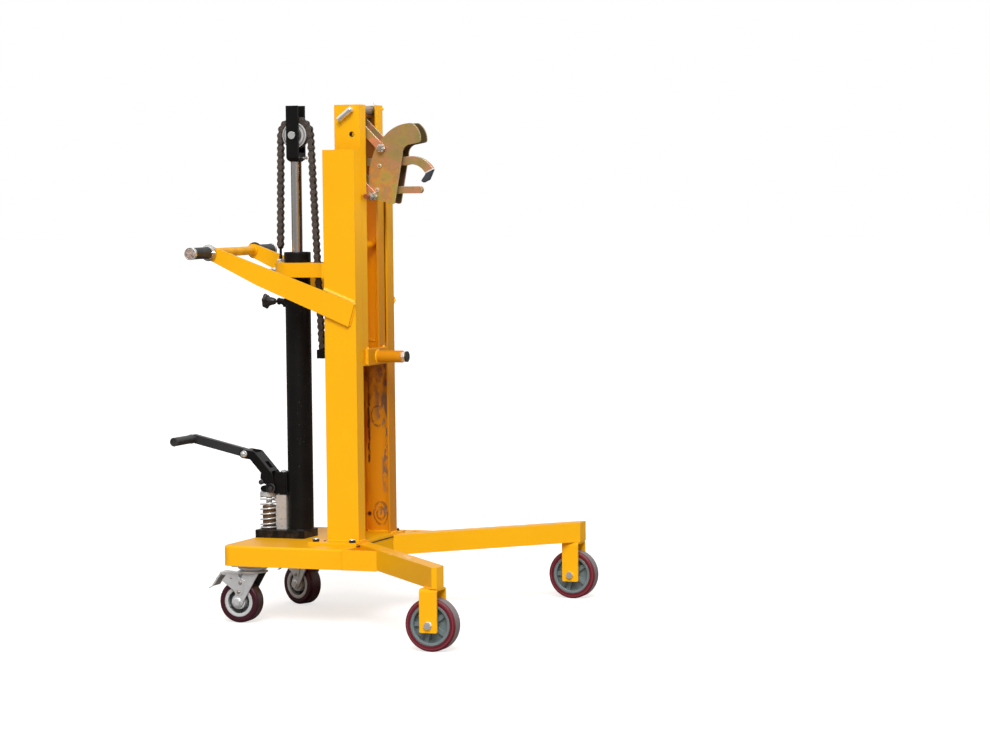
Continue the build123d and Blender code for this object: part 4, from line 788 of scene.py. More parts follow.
# %% [markdown]
# ## Gold plating of the gripper
# The beak, links and jaws are zinc plated and then yellow passivated. The film is so thin that it shows
# colours, like oil on water: tan for the most part, with drifts of pink, orange and yellow-green. A
# thin-film shader could work them out from the film's thickness, but a colour ramp over slow noise is
# easier to match to the photograph. The cut edges stay brighter.

# %% Passivated steel
TAN, PINK, ORANGE = (0.46, 0.310, 0.115), (0.72, 0.270, 0.170), (0.70, 0.310, 0.085)
GREEN, OLIVE = (0.50, 0.430, 0.080), (0.36, 0.275, 0.095)


def tinted(material, scale, low, high, stops):
    """Gives a finish a film of several colours in drifts."""
    tree = material.node_tree
    film = new_node(tree, "ValToRGB", Fac=blotches(tree, scale, low, high))
    first, last = film.color_ramp.elements
    first.position, first.color = stops[0][0], (*stops[0][1], 1)
    last.position, last.color = stops[-1][0], (*stops[-1][1], 1)
    for spot, shade in stops[1:-1]:
        film.color_ramp.elements.new(spot).color = (*shade, 1)
    feed(tree, tree.nodes["tone"].inputs["A"], film.outputs["Color"])


gold_plate = finish(
    "gold_plate", (0.43, 0.265, 0.110), (0.42, 0.28, 0.12), (1.0, 0.92, 0.70), cloud_scale=14.0,
    cloud_amount=0.3, metallic=0.45, roughness=0.40, edge_amount=0.95, radius=0.0019, grain_depth=0.05,
    grain_size=260.0)
tinted(gold_plate, 12.0, 0.24, 0.76, [(0.15, OLIVE), (0.38, TAN), (0.55, PINK), (0.72, TAN), (0.88, OLIVE)])
dress(gold_plate, "upper_links", "lower_links", "lower_jaw")
print("links and lower jaw carry", gold_plate.name)

# %% [markdown]
# The beak's plates show the drifts most, with an olive brow, and the gap between them is darkened as
# painted shade. The head slide is plated too, but old and brown, and its far bar is tinted a deep orange
# as painted shade. They could share the links' finish, but they differ too much: the plates get a copy of
# it with other drifts, and the slide gets numbers of its own.

# %% Beak plates and head slide
beak_plate, tree, place = another(gold_plate, "beak_plate")
tinted(
    beak_plate, 19.0, 0.30, 0.70,
    [(0.06, OLIVE), (0.24, TAN), (0.42, PINK), (0.55, TAN), (0.68, ORANGE), (0.80, GREEN), (0.95, TAN)])
overlay(beak_plate, ramp_node(tree, place["Z"], 1322, 1372), OLIVE, 0.6)
# Painted shade in the gap between the two plates.
between_plates = ramp_node(tree, size_of(tree, place["Y"]), 21.8, 21.3)
overlay(beak_plate, between_plates, (0.045, 0.036, 0.020), 0.78)
dress(beak_plate, "gripper_plates")
slide_plate = finish(
    "slide_plate", (0.17, 0.135, 0.065), (0.10, 0.085, 0.045), (0.55, 0.48, 0.33), cloud_scale=18.0,
    metallic=0.5, roughness=0.45, edge_amount=0.8, radius=0.0010, grain_depth=0.06, grain_size=300.0)
tree, place = stainable(slide_plate)
# Painted shade: the far bar is tinted a deep orange.
overlay(slide_plate, ramp_node(tree, place["Y"], 66.0, 66.4), (0.50, 0.150, 0.006), 0.85)
dress(slide_plate, "head_slide")
print("gripper carries", beak_plate.name, slide_plate.name)

# %% [markdown]
# The face of the hook's tooth is darkened to a blue-grey as painted shade and painted reflection, with a
# painted highlight along its top edge. The tooth could be a separate piece, but it is part of the same
# plate. The line is straight, so the mask is the distance from a line on the jaw's side.

# %% Painted shade on the tooth of the hook
LINE_X, LINE_Z, LINE_ALONG, LINE_DOWN = 225.8, 1321.2, 0.907, 0.421
hook_plate, tree, place = another(gold_plate, "hook_plate")
ahead_of_line = math_node(tree, "SUBTRACT", place["X"], LINE_X)
above_line = math_node(tree, "SUBTRACT", place["Z"], LINE_Z)
past_line = math_node(
    tree, "SUBTRACT", math_node(tree, "MULTIPLY", ahead_of_line, LINE_DOWN),
    math_node(tree, "MULTIPLY", above_line, LINE_ALONG))
tip_only = ramp_node(tree, place["X"], 205.0, 209.0)
# Painted shade and painted reflection on the face of the tooth.
overlay(hook_plate, all_of(tree, ramp_node(tree, past_line, -0.4, 0.4), tip_only), (0.060, 0.075, 0.095))
# A painted highlight along the tooth's top edge.
tooth_highlight_line = all_of(tree, band(tree, past_line, -2.6, -1.6, 0.8, 1.6), tip_only)
overlay(hook_plate, tooth_highlight_line, (0.95, 0.95, 0.93))
dress(hook_plate, "upper_jaw")
print("hook carries", hook_plate.name)

# %% [markdown]
# ## Pump body
# The block behind the spring is a pale grey casting with specks of rust, and the sleeve inside the spring
# has gone brown with oil. Two materials would need the faces to be sorted, because both are one CAD node.
# So one material tells them apart by how far back the point lies.

# %% Pump casting and sleeve
pump_cast = finish(
    "pump_cast", (0.46, 0.44, 0.42), (0.33, 0.31, 0.29), (0.6, 0.58, 0.56), cloud_scale=35.0, roughness=0.6,
    radius=0.001, grain_depth=0.14, grain_size=350.0)
tree, place = stainable(pump_cast)
overlay(pump_cast, blotches(tree, 130.0, 0.60, 0.68), (0.16, 0.115, 0.085), 0.6)
overlay(pump_cast, ramp_node(tree, place["X"], -280, -284), (0.125, 0.070, 0.032))
dress(pump_cast, "pump_body")
print("pump carries", pump_cast.name)

# %% [markdown]
# ## Small solids
# The pieces that follow are links, beads, nuts and caps. Blender's own primitives could be stretched into
# them, but their corners would stay plain. Two functions make many of them from a few points: a flat
# plate cut to an outline, and a wire along a path. They return points and faces in millimetres, so
# several solids can be joined into one object before it is placed.

# %% Plate and wire
def plate(outline, y_low, y_high):
    """An upright plate: an (x, z) outline carried from one y to another."""
    count = len(outline)
    points = [(x, y_low, z) for x, z in outline] + [(x, y_high, z) for x, z in outline]
    faces = [tuple(range(count)), tuple(range(2 * count - 1, count - 1, -1))]
    for index in range(count):
        after = (index + 1) % count
        faces.append((after, index, count + index, count + after))
    return points, faces


def rows_joined(rows, sides, closed):
    """Faces between rings of points, with end caps unless the rows close on themselves."""
    faces = []
    for row in range(rows if closed else rows - 1):
        this, onward = row * sides, (row + 1) % rows * sides
        for step in range(sides):
            after = (step + 1) % sides
            faces.append((this + step, this + after, onward + after, onward + step))
    if not closed:
        last = (rows - 1) * sides
        faces.append(tuple(range(sides - 1, -1, -1)))
        faces.append(tuple(range(last, last + sides)))
    return faces


def wire(path, radius, sides=8):
    """A round wire along a path; radius is one number or one per point."""
    path = [Vector(point) for point in path]
    radii = radius if isinstance(radius, list) else [radius] * len(path)
    points = []
    across = None
    for index, point in enumerate(path):
        way = (path[min(index + 1, len(path) - 1)] - path[max(index - 1, 0)]).normalized()
        across = way.orthogonal() if across is None else across - way * across.dot(way)
        across.normalize()
        over = way.cross(across)
        for step in range(sides):
            angle = 2 * math.pi * step / sides
            spoke = across * math.cos(angle) + over * math.sin(angle)
            points.append(tuple(point + spoke * radii[index]))
    return points, rows_joined(len(path), sides, False)


print("points of a short wire:", len(wire([(0, 0, 0), (0, 0, 10)], 2)[0]))

# %% [markdown]
# Bolts, rollers, hubs and knobs are round, so they are drawn as a lathe would cut them: a profile of
# distances along an axis and radii, spun about it. A screw modifier would do that too, but here the
# profile may also be an open ring, or have lobes for a star knob or an uneven bead.

# %% Turned piece
ALONG, ACROSS, UPWARD = (1, 0, 0), (0, 1, 0), (0, 0, 1)


def turned(profile, centre, axis, sides=32, ring=False, lobes=0, depth=0.0):
    """A turned piece: (distance along the axis, radius) pairs spun about it."""
    axis = Vector(axis).normalized()
    across = axis.orthogonal().normalized()
    over = axis.cross(across)
    points = []
    for along, radius in profile:
        for step in range(sides):
            angle = 2 * math.pi * step / sides
            reach = radius * (1 - depth * (0.5 - 0.5 * math.cos(lobes * angle)))
            spoke = across * math.cos(angle) + over * math.sin(angle)
            points.append(tuple(Vector(centre) + axis * along + spoke * reach))
    return points, rows_joined(len(profile), sides, ring)


print("points of a short roller:", len(turned([(0, 5), (10, 5)], (0, 0, 0), UPWARD)[0]))

# %% [markdown]
# Each solid could be an object of its own, but hundreds of objects would be slow to handle. Solids that
# belong together become one object with one finish. Its faces are turned outward, and it is shaded smooth
# except at sharp edges.

# %% Piece on a body
def piece(name, solids, material, body=None):
    """One object of several solids, placed in the frame, that rides on a CAD body."""
    points, faces = [], []
    for solid_points, solid_faces in solids:
        start = len(points)
        points += [here(*point) for point in solid_points]
        faces += [tuple(start + corner for corner in face) for face in solid_faces]
    mesh = bpy.data.meshes.new(name)
    mesh.from_pydata(points, [], faces)
    outward = bmesh.new()
    outward.from_mesh(mesh)
    bmesh.ops.recalc_face_normals(outward, faces=outward.faces)
    outward.to_mesh(mesh)
    outward.free()
    mesh.materials.append(material)
    mesh.polygons.foreach_set("use_smooth", [True] * len(mesh.polygons))
    mesh.set_sharp_from_angle(angle=math.radians(38))
    made = put_in_scene(name, mesh)
    if body:
        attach(made, body)
    return made


print("pieces will join", len(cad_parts), "CAD nodes")

# %% [markdown]
# ## Lifting chain
# A roller chain is pairs of waisted plates, by turns inside and outside, with rollers between them. The
# CAD model has only its outline. An array modifier along a curve could repeat a link, but it can't change
# from inner to outer plates, so each stretch is built link by link on the same pin places.

# %% Chain links
PITCH, LINK_R, WAIST = 19.05, 8.6, 5.8
INNER_PLATE, OUTER_PLATE = (5.0, 7.2), (7.7, 9.9)


def link_outline(start, end):
    """The waisted outline of one link plate between two pins."""
    way = math.atan2(end[1] - start[1], end[0] - start[0])
    middle = ((start[0] + end[0]) / 2, (start[1] + end[1]) / 2)
    outline = []
    for centre, facing_way in ((start, way + math.pi), (end, way)):
        for step in range(-5, 6):
            angle = facing_way + math.radians(step * 23)
            outline.append((centre[0] + LINK_R * math.cos(angle), centre[1] + LINK_R * math.sin(angle)))
        side = facing_way + math.pi / 2
        outline.append((middle[0] + WAIST * math.cos(side), middle[1] + WAIST * math.sin(side)))
    return outline


def chain(name, pins, first_outer, roller_pins):
    """Plates, rollers and pins of one stretch of chain."""
    solids = []
    for index in range(len(pins) - 1):
        low, high = OUTER_PLATE if (index % 2 == 0) == first_outer else INNER_PLATE
        outline = link_outline(pins[index], pins[index + 1])
        solids += [plate(outline, low, high), plate(outline, -high, -low)]
    for x, z in roller_pins:
        solids.append(turned([(-4.7, 5.4), (4.7, 5.4)], (x, 0, z), ACROSS, 14))
        solids.append(turned([(-10.9, 1.9), (-10.4, 2.7), (10.4, 2.7), (10.9, 1.9)], (x, 0, z), ACROSS, 10))
    return piece(name, solids, chain_steel)


print("link, mm:", PITCH, "by", 2 * LINK_R)

# %% [markdown]
# The chain rises from its anchor behind the ram, wraps half round the sheave and falls to the carriage.
# The loop over the sheave rides on the ram's head. On the machine the rear run shortens towards its anchor
# as the ram sinks, and the front run stretches between the ram's head and the carriage; here the rear run is
# fixed to the chassis and the front run stays where it is drawn. One piece couldn't ride on two bodies, so
# the stretches are separate.

# %% Three stretches of chain
SHEAVE_X, SHEAVE_Z = -200.0, 1434.5
WRAP_LINKS, REAR_LINKS, FRONT_LINKS = 8, 17, 33
REAR_LEAN, FRONT_LEAN, FRONT_END_Z = 6.0, 28.0, 806.235
CHAIN_R = WRAP_LINKS * PITCH / math.pi


def straight(start, end, links):
    """Pin places along a straight run of links."""
    shares = [step / links for step in range(links + 1)]
    return [tuple(start[way] + (end[way] - start[way]) * share for way in (0, 1)) for share in shares]


wrap_pins = []
for step in range(WRAP_LINKS + 1):
    angle = math.pi * step / WRAP_LINKS
    wrap_pins.append((SHEAVE_X - CHAIN_R * math.cos(angle), SHEAVE_Z + CHAIN_R * math.sin(angle)))
rear_length = REAR_LINKS * PITCH
rear_pins = straight(wrap_pins[0], (SHEAVE_X - CHAIN_R - REAR_LEAN, SHEAVE_Z - rear_length), REAR_LINKS)
front_end = (SHEAVE_X + CHAIN_R + FRONT_LEAN, FRONT_END_Z)
front_pins = straight(wrap_pins[-1], front_end, FRONT_LINKS)
loop = chain("chain_loop", wrap_pins, False, wrap_pins)
rear_chain = chain("chain_rear", rear_pins, True, rear_pins[1:-1])
front_chain = chain("chain_front", front_pins, False, front_pins[1:-1])
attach(loop, "ram_head")
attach(rear_chain, "chassis")
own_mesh(rear_chain)
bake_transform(front_chain)
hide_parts("chain_over_sheave")
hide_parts("chain_rear_run")
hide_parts("chain_front_run")
print("links:", len(wrap_pins) - 1, len(rear_pins) - 1, len(front_pins) - 1)

# %% [markdown]
# ## Sheave
# The wheel that carries the chain is a turned casting with two pale rims, a land between them for the
# rollers and a boss on each side. Both sides are alike, so one half of the profile is drawn and then
# mirrored. The land and a groove are darker, the bosses are darkened as painted shade, and the material
# knows them by their place.

# %% Chain wheel
cast_rim = finish(
    "cast_rim", (0.62, 0.63, 0.62), (0.48, 0.48, 0.46), (0.95, 0.96, 0.98), cloud_scale=30.0, metallic=0.3,
    roughness=0.4, radius=0.0008, grain_depth=0.05)
tree, place = stainable(cast_rim)
overlay(cast_rim, ramp_node(tree, size_of(tree, place["Y"]), 6.2, 5.4), (0.035, 0.030, 0.026))
within_groove = round_spot(tree, SHEAVE_X, SHEAVE_Z, 30.6, 31.6)
groove = all_of(
    tree, round_spot(tree, SHEAVE_X, SHEAVE_Z, 34.8, 35.8), math_node(tree, "SUBTRACT", 1.0, within_groove))
overlay(cast_rim, groove, (0.13, 0.14, 0.16), 0.8)
# Painted shade on the bosses.
overlay(cast_rim, round_spot(tree, SHEAVE_X, SHEAVE_Z, 23.5, 25.5), (0.030, 0.028, 0.028), 0.9)
sheave_half = [
    (4.5, 41.9), (5.2, 35.0), (6.4, 38.4), (9.4, 39.0), (11.6, 38.2), (12.4, 34.0), (12.6, 25.0),
    (13.2, 22.0), (17.2, 21.2), (18.0, 15.0), (18.0, 10.3)]
sheave_profile = [(-along, radius) for along, radius in reversed(sheave_half)] + sheave_half
sheave_solid = turned(sheave_profile, (SHEAVE_X, 0, SHEAVE_Z), ACROSS, 56)
chain_wheel = piece("chain_wheel", [sheave_solid], cast_rim, "sheave_wheel")
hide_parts("sheave")
print("chain wheel points:", len(chain_wheel.data.vertices))

# %% [markdown]
# ## Return spring
# The pump's spring is one wire wound round the sleeve, with its end turns closed so that it stands
# square. A screw modifier gives an even helix only, so the wire follows a computed one. On the pump it
# shortens with the plunger, but here it is a fixed mesh on the chassis.

# %% Pump spring
SPRING_X, SPRING_FOOT, SPRING_LENGTH, PLUNGER_STROKE = -305, 256, 98, 16
COIL_R, COIL_WIRE_R, COIL_TURNS, COIL_STEPS, COIL_START = 25.5, 2.4, 7.25, 36, 2.2
LOWEST_COIL, HIGHEST_COIL, CLOSED_TURNS, CLOSED_RISE = 258.7, 351.3, 0.9, 4.6


def spring_height(turns_done):
    """Height of the wire's middle after a number of turns: closed at both ends, open between."""
    if turns_done < CLOSED_TURNS:
        return LOWEST_COIL + CLOSED_RISE * turns_done / CLOSED_TURNS
    if turns_done > COIL_TURNS - CLOSED_TURNS:
        return HIGHEST_COIL - CLOSED_RISE * (COIL_TURNS - turns_done) / CLOSED_TURNS
    open_rise = HIGHEST_COIL - LOWEST_COIL - 2 * CLOSED_RISE
    open_share = (turns_done - CLOSED_TURNS) / (COIL_TURNS - 2 * CLOSED_TURNS)
    return LOWEST_COIL + CLOSED_RISE + open_rise * open_share


helix = []
for step in range(int(COIL_TURNS * COIL_STEPS) + 1):
    angle = 2 * math.pi * step / COIL_STEPS + COIL_START
    helix.append((
        SPRING_X + COIL_R * math.cos(angle), COIL_R * math.sin(angle), spring_height(step / COIL_STEPS)))
spring = piece("return_spring", [wire(helix, COIL_WIRE_R, 10)], zinc, "chassis")
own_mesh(spring)
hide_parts("pump_spring")
print("spring points:", len(helix))

# %% [markdown]
# ## Weld beads
# The frame is welded, and the beads catch the light along every joint. A bump on the paint would not
# change the outline, so each bead is a wire that swells and thins as it goes, like the ripples of a real
# weld, and tapers at both ends. Round joints get an uneven ring.

# %% Straight and round beads
def bead(start, end, radius):
    """A rippled weld bead between two places."""
    start, end = Vector(start), Vector(end)
    count = max(6, int((end - start).length / 2.5))
    path = [start.lerp(end, step / count) for step in range(count + 1)]
    radii = []
    for step in range(count + 1):
        radii.append(radius * (0.86 + 0.10 * math.sin(1.9 * step) + 0.06 * math.sin(0.7 * step + 1)))
    radii[0], radii[-1] = radius * 0.4, radius * 0.4
    return wire(path, radii, 8)


def ring_bead(centre, axis, reach, radius, lobes=11, depth=0.05):
    """A weld bead, or a plain ring, around a round joint."""
    profile = []
    for step in range(8):
        angle = 2 * math.pi * step / 8
        profile.append((-radius * math.cos(angle), reach + radius * math.sin(angle)))
    return turned(profile, centre, axis, 44, True, lobes, depth)


HANDLE_X, HANDLE_Z = -416, 1089
frame_beads = []
for side in (-1, 1):
    frame_beads += [
        bead((50.5, side * 146, 938), (31, side * 146, 873), 3.2),
        bead((-49, side * 146, 243), (49, side * 146, 243), 4.2),
        bead((-43, side * 137, 242.5), (43, side * 137, 242.5), 3.6),
        bead((51.5, side * 100, 243), (51.5, side * 141, 243), 3.6),
        bead((52, side * 273.2, 175), (52, side * 273.2, 231), 1.6),
        bead((163, side * 271.5, 177), (163, side * 271.5, 231), 2.2),
        bead((434.5, side * 577.5, 177), (469, side * 616, 177), 3.0),
        ring_bead((HANDLE_X, side * 142.5, HANDLE_Z), ACROSS, 14.4, 3.2)]
piece("frame_welds", frame_beads, yellow_paint, "chassis")
print("beads on the frame:", len(frame_beads))

# %% [markdown]
# The paint over the beads is the same yellow, but on top of the handle's arms it has pooled and is
# thicker and shinier, so these beads get a glossier finish, whose paler colour is a painted highlight. The
# open joint under the front of the foot plate lies in shade. That shade could be a stain, but it fills a
# real gap, so it is painted on a dull dark bead.

# %% Handle arms and foot plate
ARM_TOP_Z, ARM_TOP_X, ARM_SLOPE = 940, 50, 0.3966


def arm_top(x):
    """Height of the handle arm's top edge beside the mast."""
    return ARM_TOP_Z + (ARM_TOP_X - x) * ARM_SLOPE


# A glossier paint whose paler colour is a painted highlight.
glossy_highlit_paint = finish(
    "glossy_highlit_paint", (1.0, 0.56, 0.035), (1.0, 0.60, 0.060), (1.0, 0.72, 0.22), cloud_scale=60.0,
    roughness=0.22, specular_ior_level=0.35, grain_depth=0.08, grain_size=300.0)
# Painted shade for the joint under the foot plate.
gap_shade = finish(
    "gap_shade", (0.050, 0.022, 0.008), (0.11, 0.045, 0.012), (0.16, 0.07, 0.02), cloud_scale=40.0,
    roughness=0.8, grain_depth=0.2, grain_size=300.0)
arm_beads = []
for side in (-1, 1):
    arm_beads += [
        bead((-49, side * 148.5, arm_top(-49) + 2.5), (50, side * 148.5, arm_top(50) + 2.5), 7.4),
        bead((46, side * 150.5, arm_top(46)), (52, side * 150.5, arm_top(52) - 3), 4.6)]
piece("arm_welds", arm_beads, glossy_highlit_paint, "chassis")
plate_gap = bead((59.2, -184, 231.0), (59.2, 184, 231.0), 2.3)
piece("plate_joint", [plate_gap], gap_shade, "chassis")
print("beads on the arms:", len(arm_beads))

# %% [markdown]
# The carriage's rod, cross bar and stub are welded into its channels, and these beads rise with it, so
# they are a piece of their own. The ram has a bead round its base, a plain ring near its top and beads on
# the lever's bracket, all under black paint.

# %% Carriage and ram
carriage_beads = [ring_bead((57, 0, 778), ALONG, 18.6, 3.4)]
for side in (-1, 1):
    carriage_beads += [
        ring_bead((16, side * 79.5, 1108), ACROSS, 11.8, 3.2),
        bead((51, side * 69.4, 756), (51, side * 69.4, 801), 4.6),
        bead((46.5, side * 60, 804), (55, side * 60, 803.5), 5.0)]
carriage_beads += [
    bead((45.5, 84, 1506), (45.5, 86, 1513), 4.2),
    bead((-8, 80, 823), (14, 80, 819), 3.4),
    bead((16, 80, 1121), (20, 80, 1124), 3.0)]
piece("carriage_welds", carriage_beads, yellow_paint, "carriage")
ram_beads = [
    ring_bead((-200, 0, 256.5), UPWARD, 38.6, 2.8),
    ring_bead((-200, 0, 1085), UPWARD, 37.6, 2.6, 0, 0.0),
    bead((-243, -23.5, 366), (-243, -23.5, 428), 3.2),
    bead((-256, -23.5, 380), (-256, -23.5, 428), 1.8)]
piece("ram_welds", ram_beads, black_paint, "chassis")
print("beads on carriage and ram:", len(carriage_beads), len(ram_beads))

# %% [markdown]
# ## Bolts, washers and nuts
# Where parts are bolted together there are washers, chamfered hexagons and domed heads. A hexagon could
# be a six-sided cylinder with a bevel, but a turned piece with six sides, whose first and last rings are
# smaller, is the same in one step. Three functions make these parts for all the cells below.

# %% Bolt parts
def hexagon(centre, axis, radius, height):
    """A chamfered nut or bolt head that starts at a place and grows along an axis."""
    profile = [
        (0, radius * 0.93), (height * 0.12, radius), (height * 0.80, radius), (height, radius * 0.86)]
    return turned(profile, centre, axis, 6)


def washer(centre, axis, radius, height):
    """A round washer with a softened rim, closed in the middle because a bolt fills it."""
    return turned([(0, radius), (height * 0.7, radius), (height, radius - height * 0.3)], centre, axis, 36)


def dome(centre, axis, radius, height):
    """A domed head."""
    arc_turns = (0, 0.3, 0.6, 0.9, 1.2, 1.45)
    arc_points = [(height * math.sin(turn), radius * math.cos(turn)) for turn in arc_turns]
    return turned([(-0.3, radius)] + arc_points, centre, axis, 28)


print("points of a nut:", len(hexagon((0, 0, 0), UPWARD, 10, 8)[0]))

# %% [markdown]
# The chain's rear end hangs on a thin stud with a flat tongue, held in the ram's bracket by two nuts. The
# CAD stud is plain, so a finer one takes its place. The nuts share a piece with the grease nipple, the
# washers of the front axles and the rounded crowns of the foot bolts, because all of them are bright zinc
# on the chassis.

# %% Frame hardware and chain anchor
ANCHOR_X, TONGUE_R = -254.5, 8.0
hardware = [
    hexagon((ANCHOR_X, 0, 1056.2), UPWARD, 11.2, 10.6),
    hexagon((ANCHOR_X, 0, 1012.8), (0, 0, -1), 11.2, 9.8)]
nipple = [(0, 5.6), (7, 5.6), (8, 4.4), (13, 4.2), (15, 2.6), (20, 2.2), (24, 1.2)]
hardware.append(turned(nipple, (-272, 0, 1036), (-1, 0, 0), 20))
for side in (-1, 1):
    hardware.append(washer((FRONT_X, side * 616, FRONT_Z), (0, side, 0), 11.4, 1.8))
hardware += [dome((x, y, 248.8), UPWARD, 8.6, 3.4) for x in (-78, 38) for y in (-164.5, 164.5)]
piece("frame_hardware", hardware, bright_zinc, "chassis")
stud = turned([(0, 4.0), (0.8, 4.8), (82, 4.8), (84, 4.0), (110, 4.0)], (ANCHOR_X, 0, 993), UPWARD, 18)
tongue = []
for centre_z, facing_way in ((1104, -90), (1111, 90)):
    for step in range(-4, 5):
        angle = math.radians(facing_way + step * 22.5)
        tongue.append((ANCHOR_X + TONGUE_R * math.cos(angle), centre_z + TONGUE_R * math.sin(angle)))
anchor_stud = piece("anchor_stud", [stud, plate(tongue, -4.6, 4.6)], black_paint, "chassis")
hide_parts("chain_anchor")
print("frame hardware:", len(hardware), "and anchor points:", len(anchor_stud.data.vertices))

# %% [markdown]
# Three small things are left on the ram and the foot plate: the bolt of the lever's bracket, a cap screw
# in the clevis, and a rubber grommet in the plate. They could join the hardware above, but each has
# another finish or another body, so each is its own piece.

# %% Bracket bolt, clevis screw and grommet
bracket_bolt = [washer((-250, -10, 428.5), UPWARD, 8.0, 1.4), hexagon((-250, -10, 430), UPWARD, 6.0, 5.0)]
piece("bracket_bolt", bracket_bolt, zinc, "chassis")
cap_screw = turned([(-1, 3.4), (8, 3.4), (8.4, 5.2), (12.6, 5.2), (13.2, 4.4)], (-181, 10, 1367), ALONG, 20)
piece("clevis_screw", [cap_screw], bright_zinc, "ram_head")
grommet = [
    ring_bead((-56, -148, 241.6), UPWARD, 2.6, 1.4, 0, 0.0), washer((-56, -148, 241), UPWARD, 2.8, 0.8)]
piece("plate_grommet", grommet, rubber, "chassis")
print("small parts:", len(bracket_bolt), "and", len(grommet), "solids")

# %% [markdown]
# ## Push handle
# The grips are ribbed rubber sleeves pushed onto the bar, with a flare at the collar. A bump map would
# leave their outline smooth, so the ribs are cut in the turned profile. The chromed collars are bells
# that widen towards the arms.

# %% Ribbed grips and collars
RIB_COUNT, RIB_START, RIB_PITCH = 11, 171.0, 8.8
ribs = [(164.3, 18.6), (167.5, 18.8), (169.0, 17.2)]
for index in range(RIB_COUNT):
    start = RIB_START + RIB_PITCH * index
    ribs += [(start, 17.0), (start + 1.2, 17.5), (start + 6.4, 17.5), (start + 7.6, 17.0)]
ribs += [(269.0, 17.3), (269.9, 16.6)]
bell = [
    (155.0, 18.0), (155.0, 23.6), (157.0, 25.0), (160.0, 25.2), (164.0, 23.4), (168.6, 19.6), (171.5, 18.4),
    (171.5, 17.8)]


def on_handle(profile, sides, ring=False):
    """A piece turned about the handle's bar, once on each side."""
    return [turned(profile, (HANDLE_X, 0, HANDLE_Z), (0, side, 0), sides, ring) for side in (-1, 1)]


handle_rubber = piece("handle_rubber", on_handle(ribs, 40), rubber, "chassis")
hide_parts("handle_grips")
print("rings of a grip:", len(ribs))

# %% [markdown]
# The grips end in chromed caps with a rolled rim and a face that has been dented by knocks. The face
# could be a flat disc with a bump, but dents catch the light differently from each side, so it is a disc
# of rings whose height ripples. Its chrome is worn to brown in spots.

# %% Caps of the grips
DISC_SIDES, DISC_RINGS, RING_STEP, CAP_FACE_Y = 30, 7, 2.25, 281.9


def dented_disc(side):
    """The cap's face: rings of points whose height ripples."""
    points, faces = [(HANDLE_X, side * CAP_FACE_Y, HANDLE_Z)], []
    for ring in range(1, DISC_RINGS + 1):
        reach = RING_STEP * ring
        for step in range(DISC_SIDES):
            angle = 2 * math.pi * step / DISC_SIDES
            wave = math.sin(3 * angle + ring) * math.cos(1.7 * ring - 2 * angle)
            wave += 0.6 * math.sin(7 * angle + 2.3 * ring)
            face_y = CAP_FACE_Y + (0.22 * wave if ring < DISC_RINGS else -0.3)
            away_x, away_z = reach * math.cos(angle), reach * math.sin(angle)
            points.append((HANDLE_X + away_x, side * face_y, HANDLE_Z + away_z))
    for step in range(DISC_SIDES):
        faces.append((0, 1 + step, 1 + (step + 1) % DISC_SIDES))
    for ring in range(DISC_RINGS - 1):
        low, high = 1 + ring * DISC_SIDES, 1 + (ring + 1) * DISC_SIDES
        for step in range(DISC_SIDES):
            after = (step + 1) % DISC_SIDES
            faces.append((low + step, high + step, high + after, low + after))
    last = 1 + (DISC_RINGS - 1) * DISC_SIDES
    faces.append(tuple(last + step for step in range(DISC_SIDES - 1, -1, -1)))
    return points, faces


cap_face = finish(
    "cap_face", (0.66, 0.53, 0.45), (0.20, 0.13, 0.11), (0.9, 0.85, 0.8), cloud_scale=95.0,
    cloud_amount=0.9, metallic=0.3, roughness=0.42, grain_depth=0.1, grain_size=260.0)
rim = [
    (276.5, 18.7), (277.5, 19.1), (281.6, 19.1), (282.6, 18.2), (282.6, 16.2), (281.2, 15.6), (276.5, 15.6)]
piece("cap_trim", [dented_disc(-1), dented_disc(1)], cap_face, "chassis")
piece("cap_rim", on_handle(rim, 40, True), bright_zinc, "chassis")
piece("collar_bells", on_handle(bell, 48, True), cap_chrome, "chassis")
print("points of a cap's face:", len(dented_disc(1)[0]))

# %% [markdown]
# ## Release valve
# A star knob on a thin spindle opens the valve on the ram, and its pipe bends down into the tube. The
# star could be cut from a disc with booleans, but six lobes on the turned profile give soft moulded
# fingers at once. The pipe is a wire along a bend.

# %% Star knob and pipe
KNOB_X, KNOB_Z, BEND_X, BEND_R = -314, 940, -256, 17
star_profile = [
    (0, 8.0), (0.6, 15.0), (3.0, 20.6), (7.0, 23.6), (10.0, 23.8), (13.5, 21.0), (17.0, 16.4), (20.0, 14.2),
    (22.0, 13.8)]
cone_profile = [
    (20.0, 12.4), (24.0, 12.6), (32.0, 11.0), (38.0, 8.9), (39.4, 8.0), (39.6, 4.2), (49.0, 4.2)]
star = turned(star_profile, (KNOB_X, 0, KNOB_Z), ALONG, 60, lobes=6, depth=0.20)
cone = turned(cone_profile, (KNOB_X, 0, KNOB_Z), ALONG, 28)
star_knob = piece("star_knob", [star, cone], knob_plastic, "valve_knob")
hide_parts("release_knob")
bend = [(BEND_X - 10, 0, KNOB_Z), (BEND_X, 0, KNOB_Z)]
for step in range(1, 8):
    angle = math.pi / 2 * step / 7
    bend.append((BEND_X + BEND_R * math.sin(angle), 0, KNOB_Z - BEND_R + BEND_R * math.cos(angle)))
pipe_collar = turned([(0, 9.6), (1, 10.6), (5, 10.6), (6, 9.6)], (-265.5, 0, KNOB_Z), ALONG, 28)
piece("valve_pipe", [wire(bend, 9.2, 20), pipe_collar], black_paint, "chassis")
print("knob points:", len(star_knob.data.vertices))

# %% [markdown]
# ## Casters
# Each caster is pressed steel: a dished race under its plate, a fork with a bolted side plate that
# carries the foot brake, and a domed axle nut. Both casters are alike but turned differently. They could
# be drawn where they stand, but it is easier to draw one about its own king pin, facing forward, and put
# it in place twice.

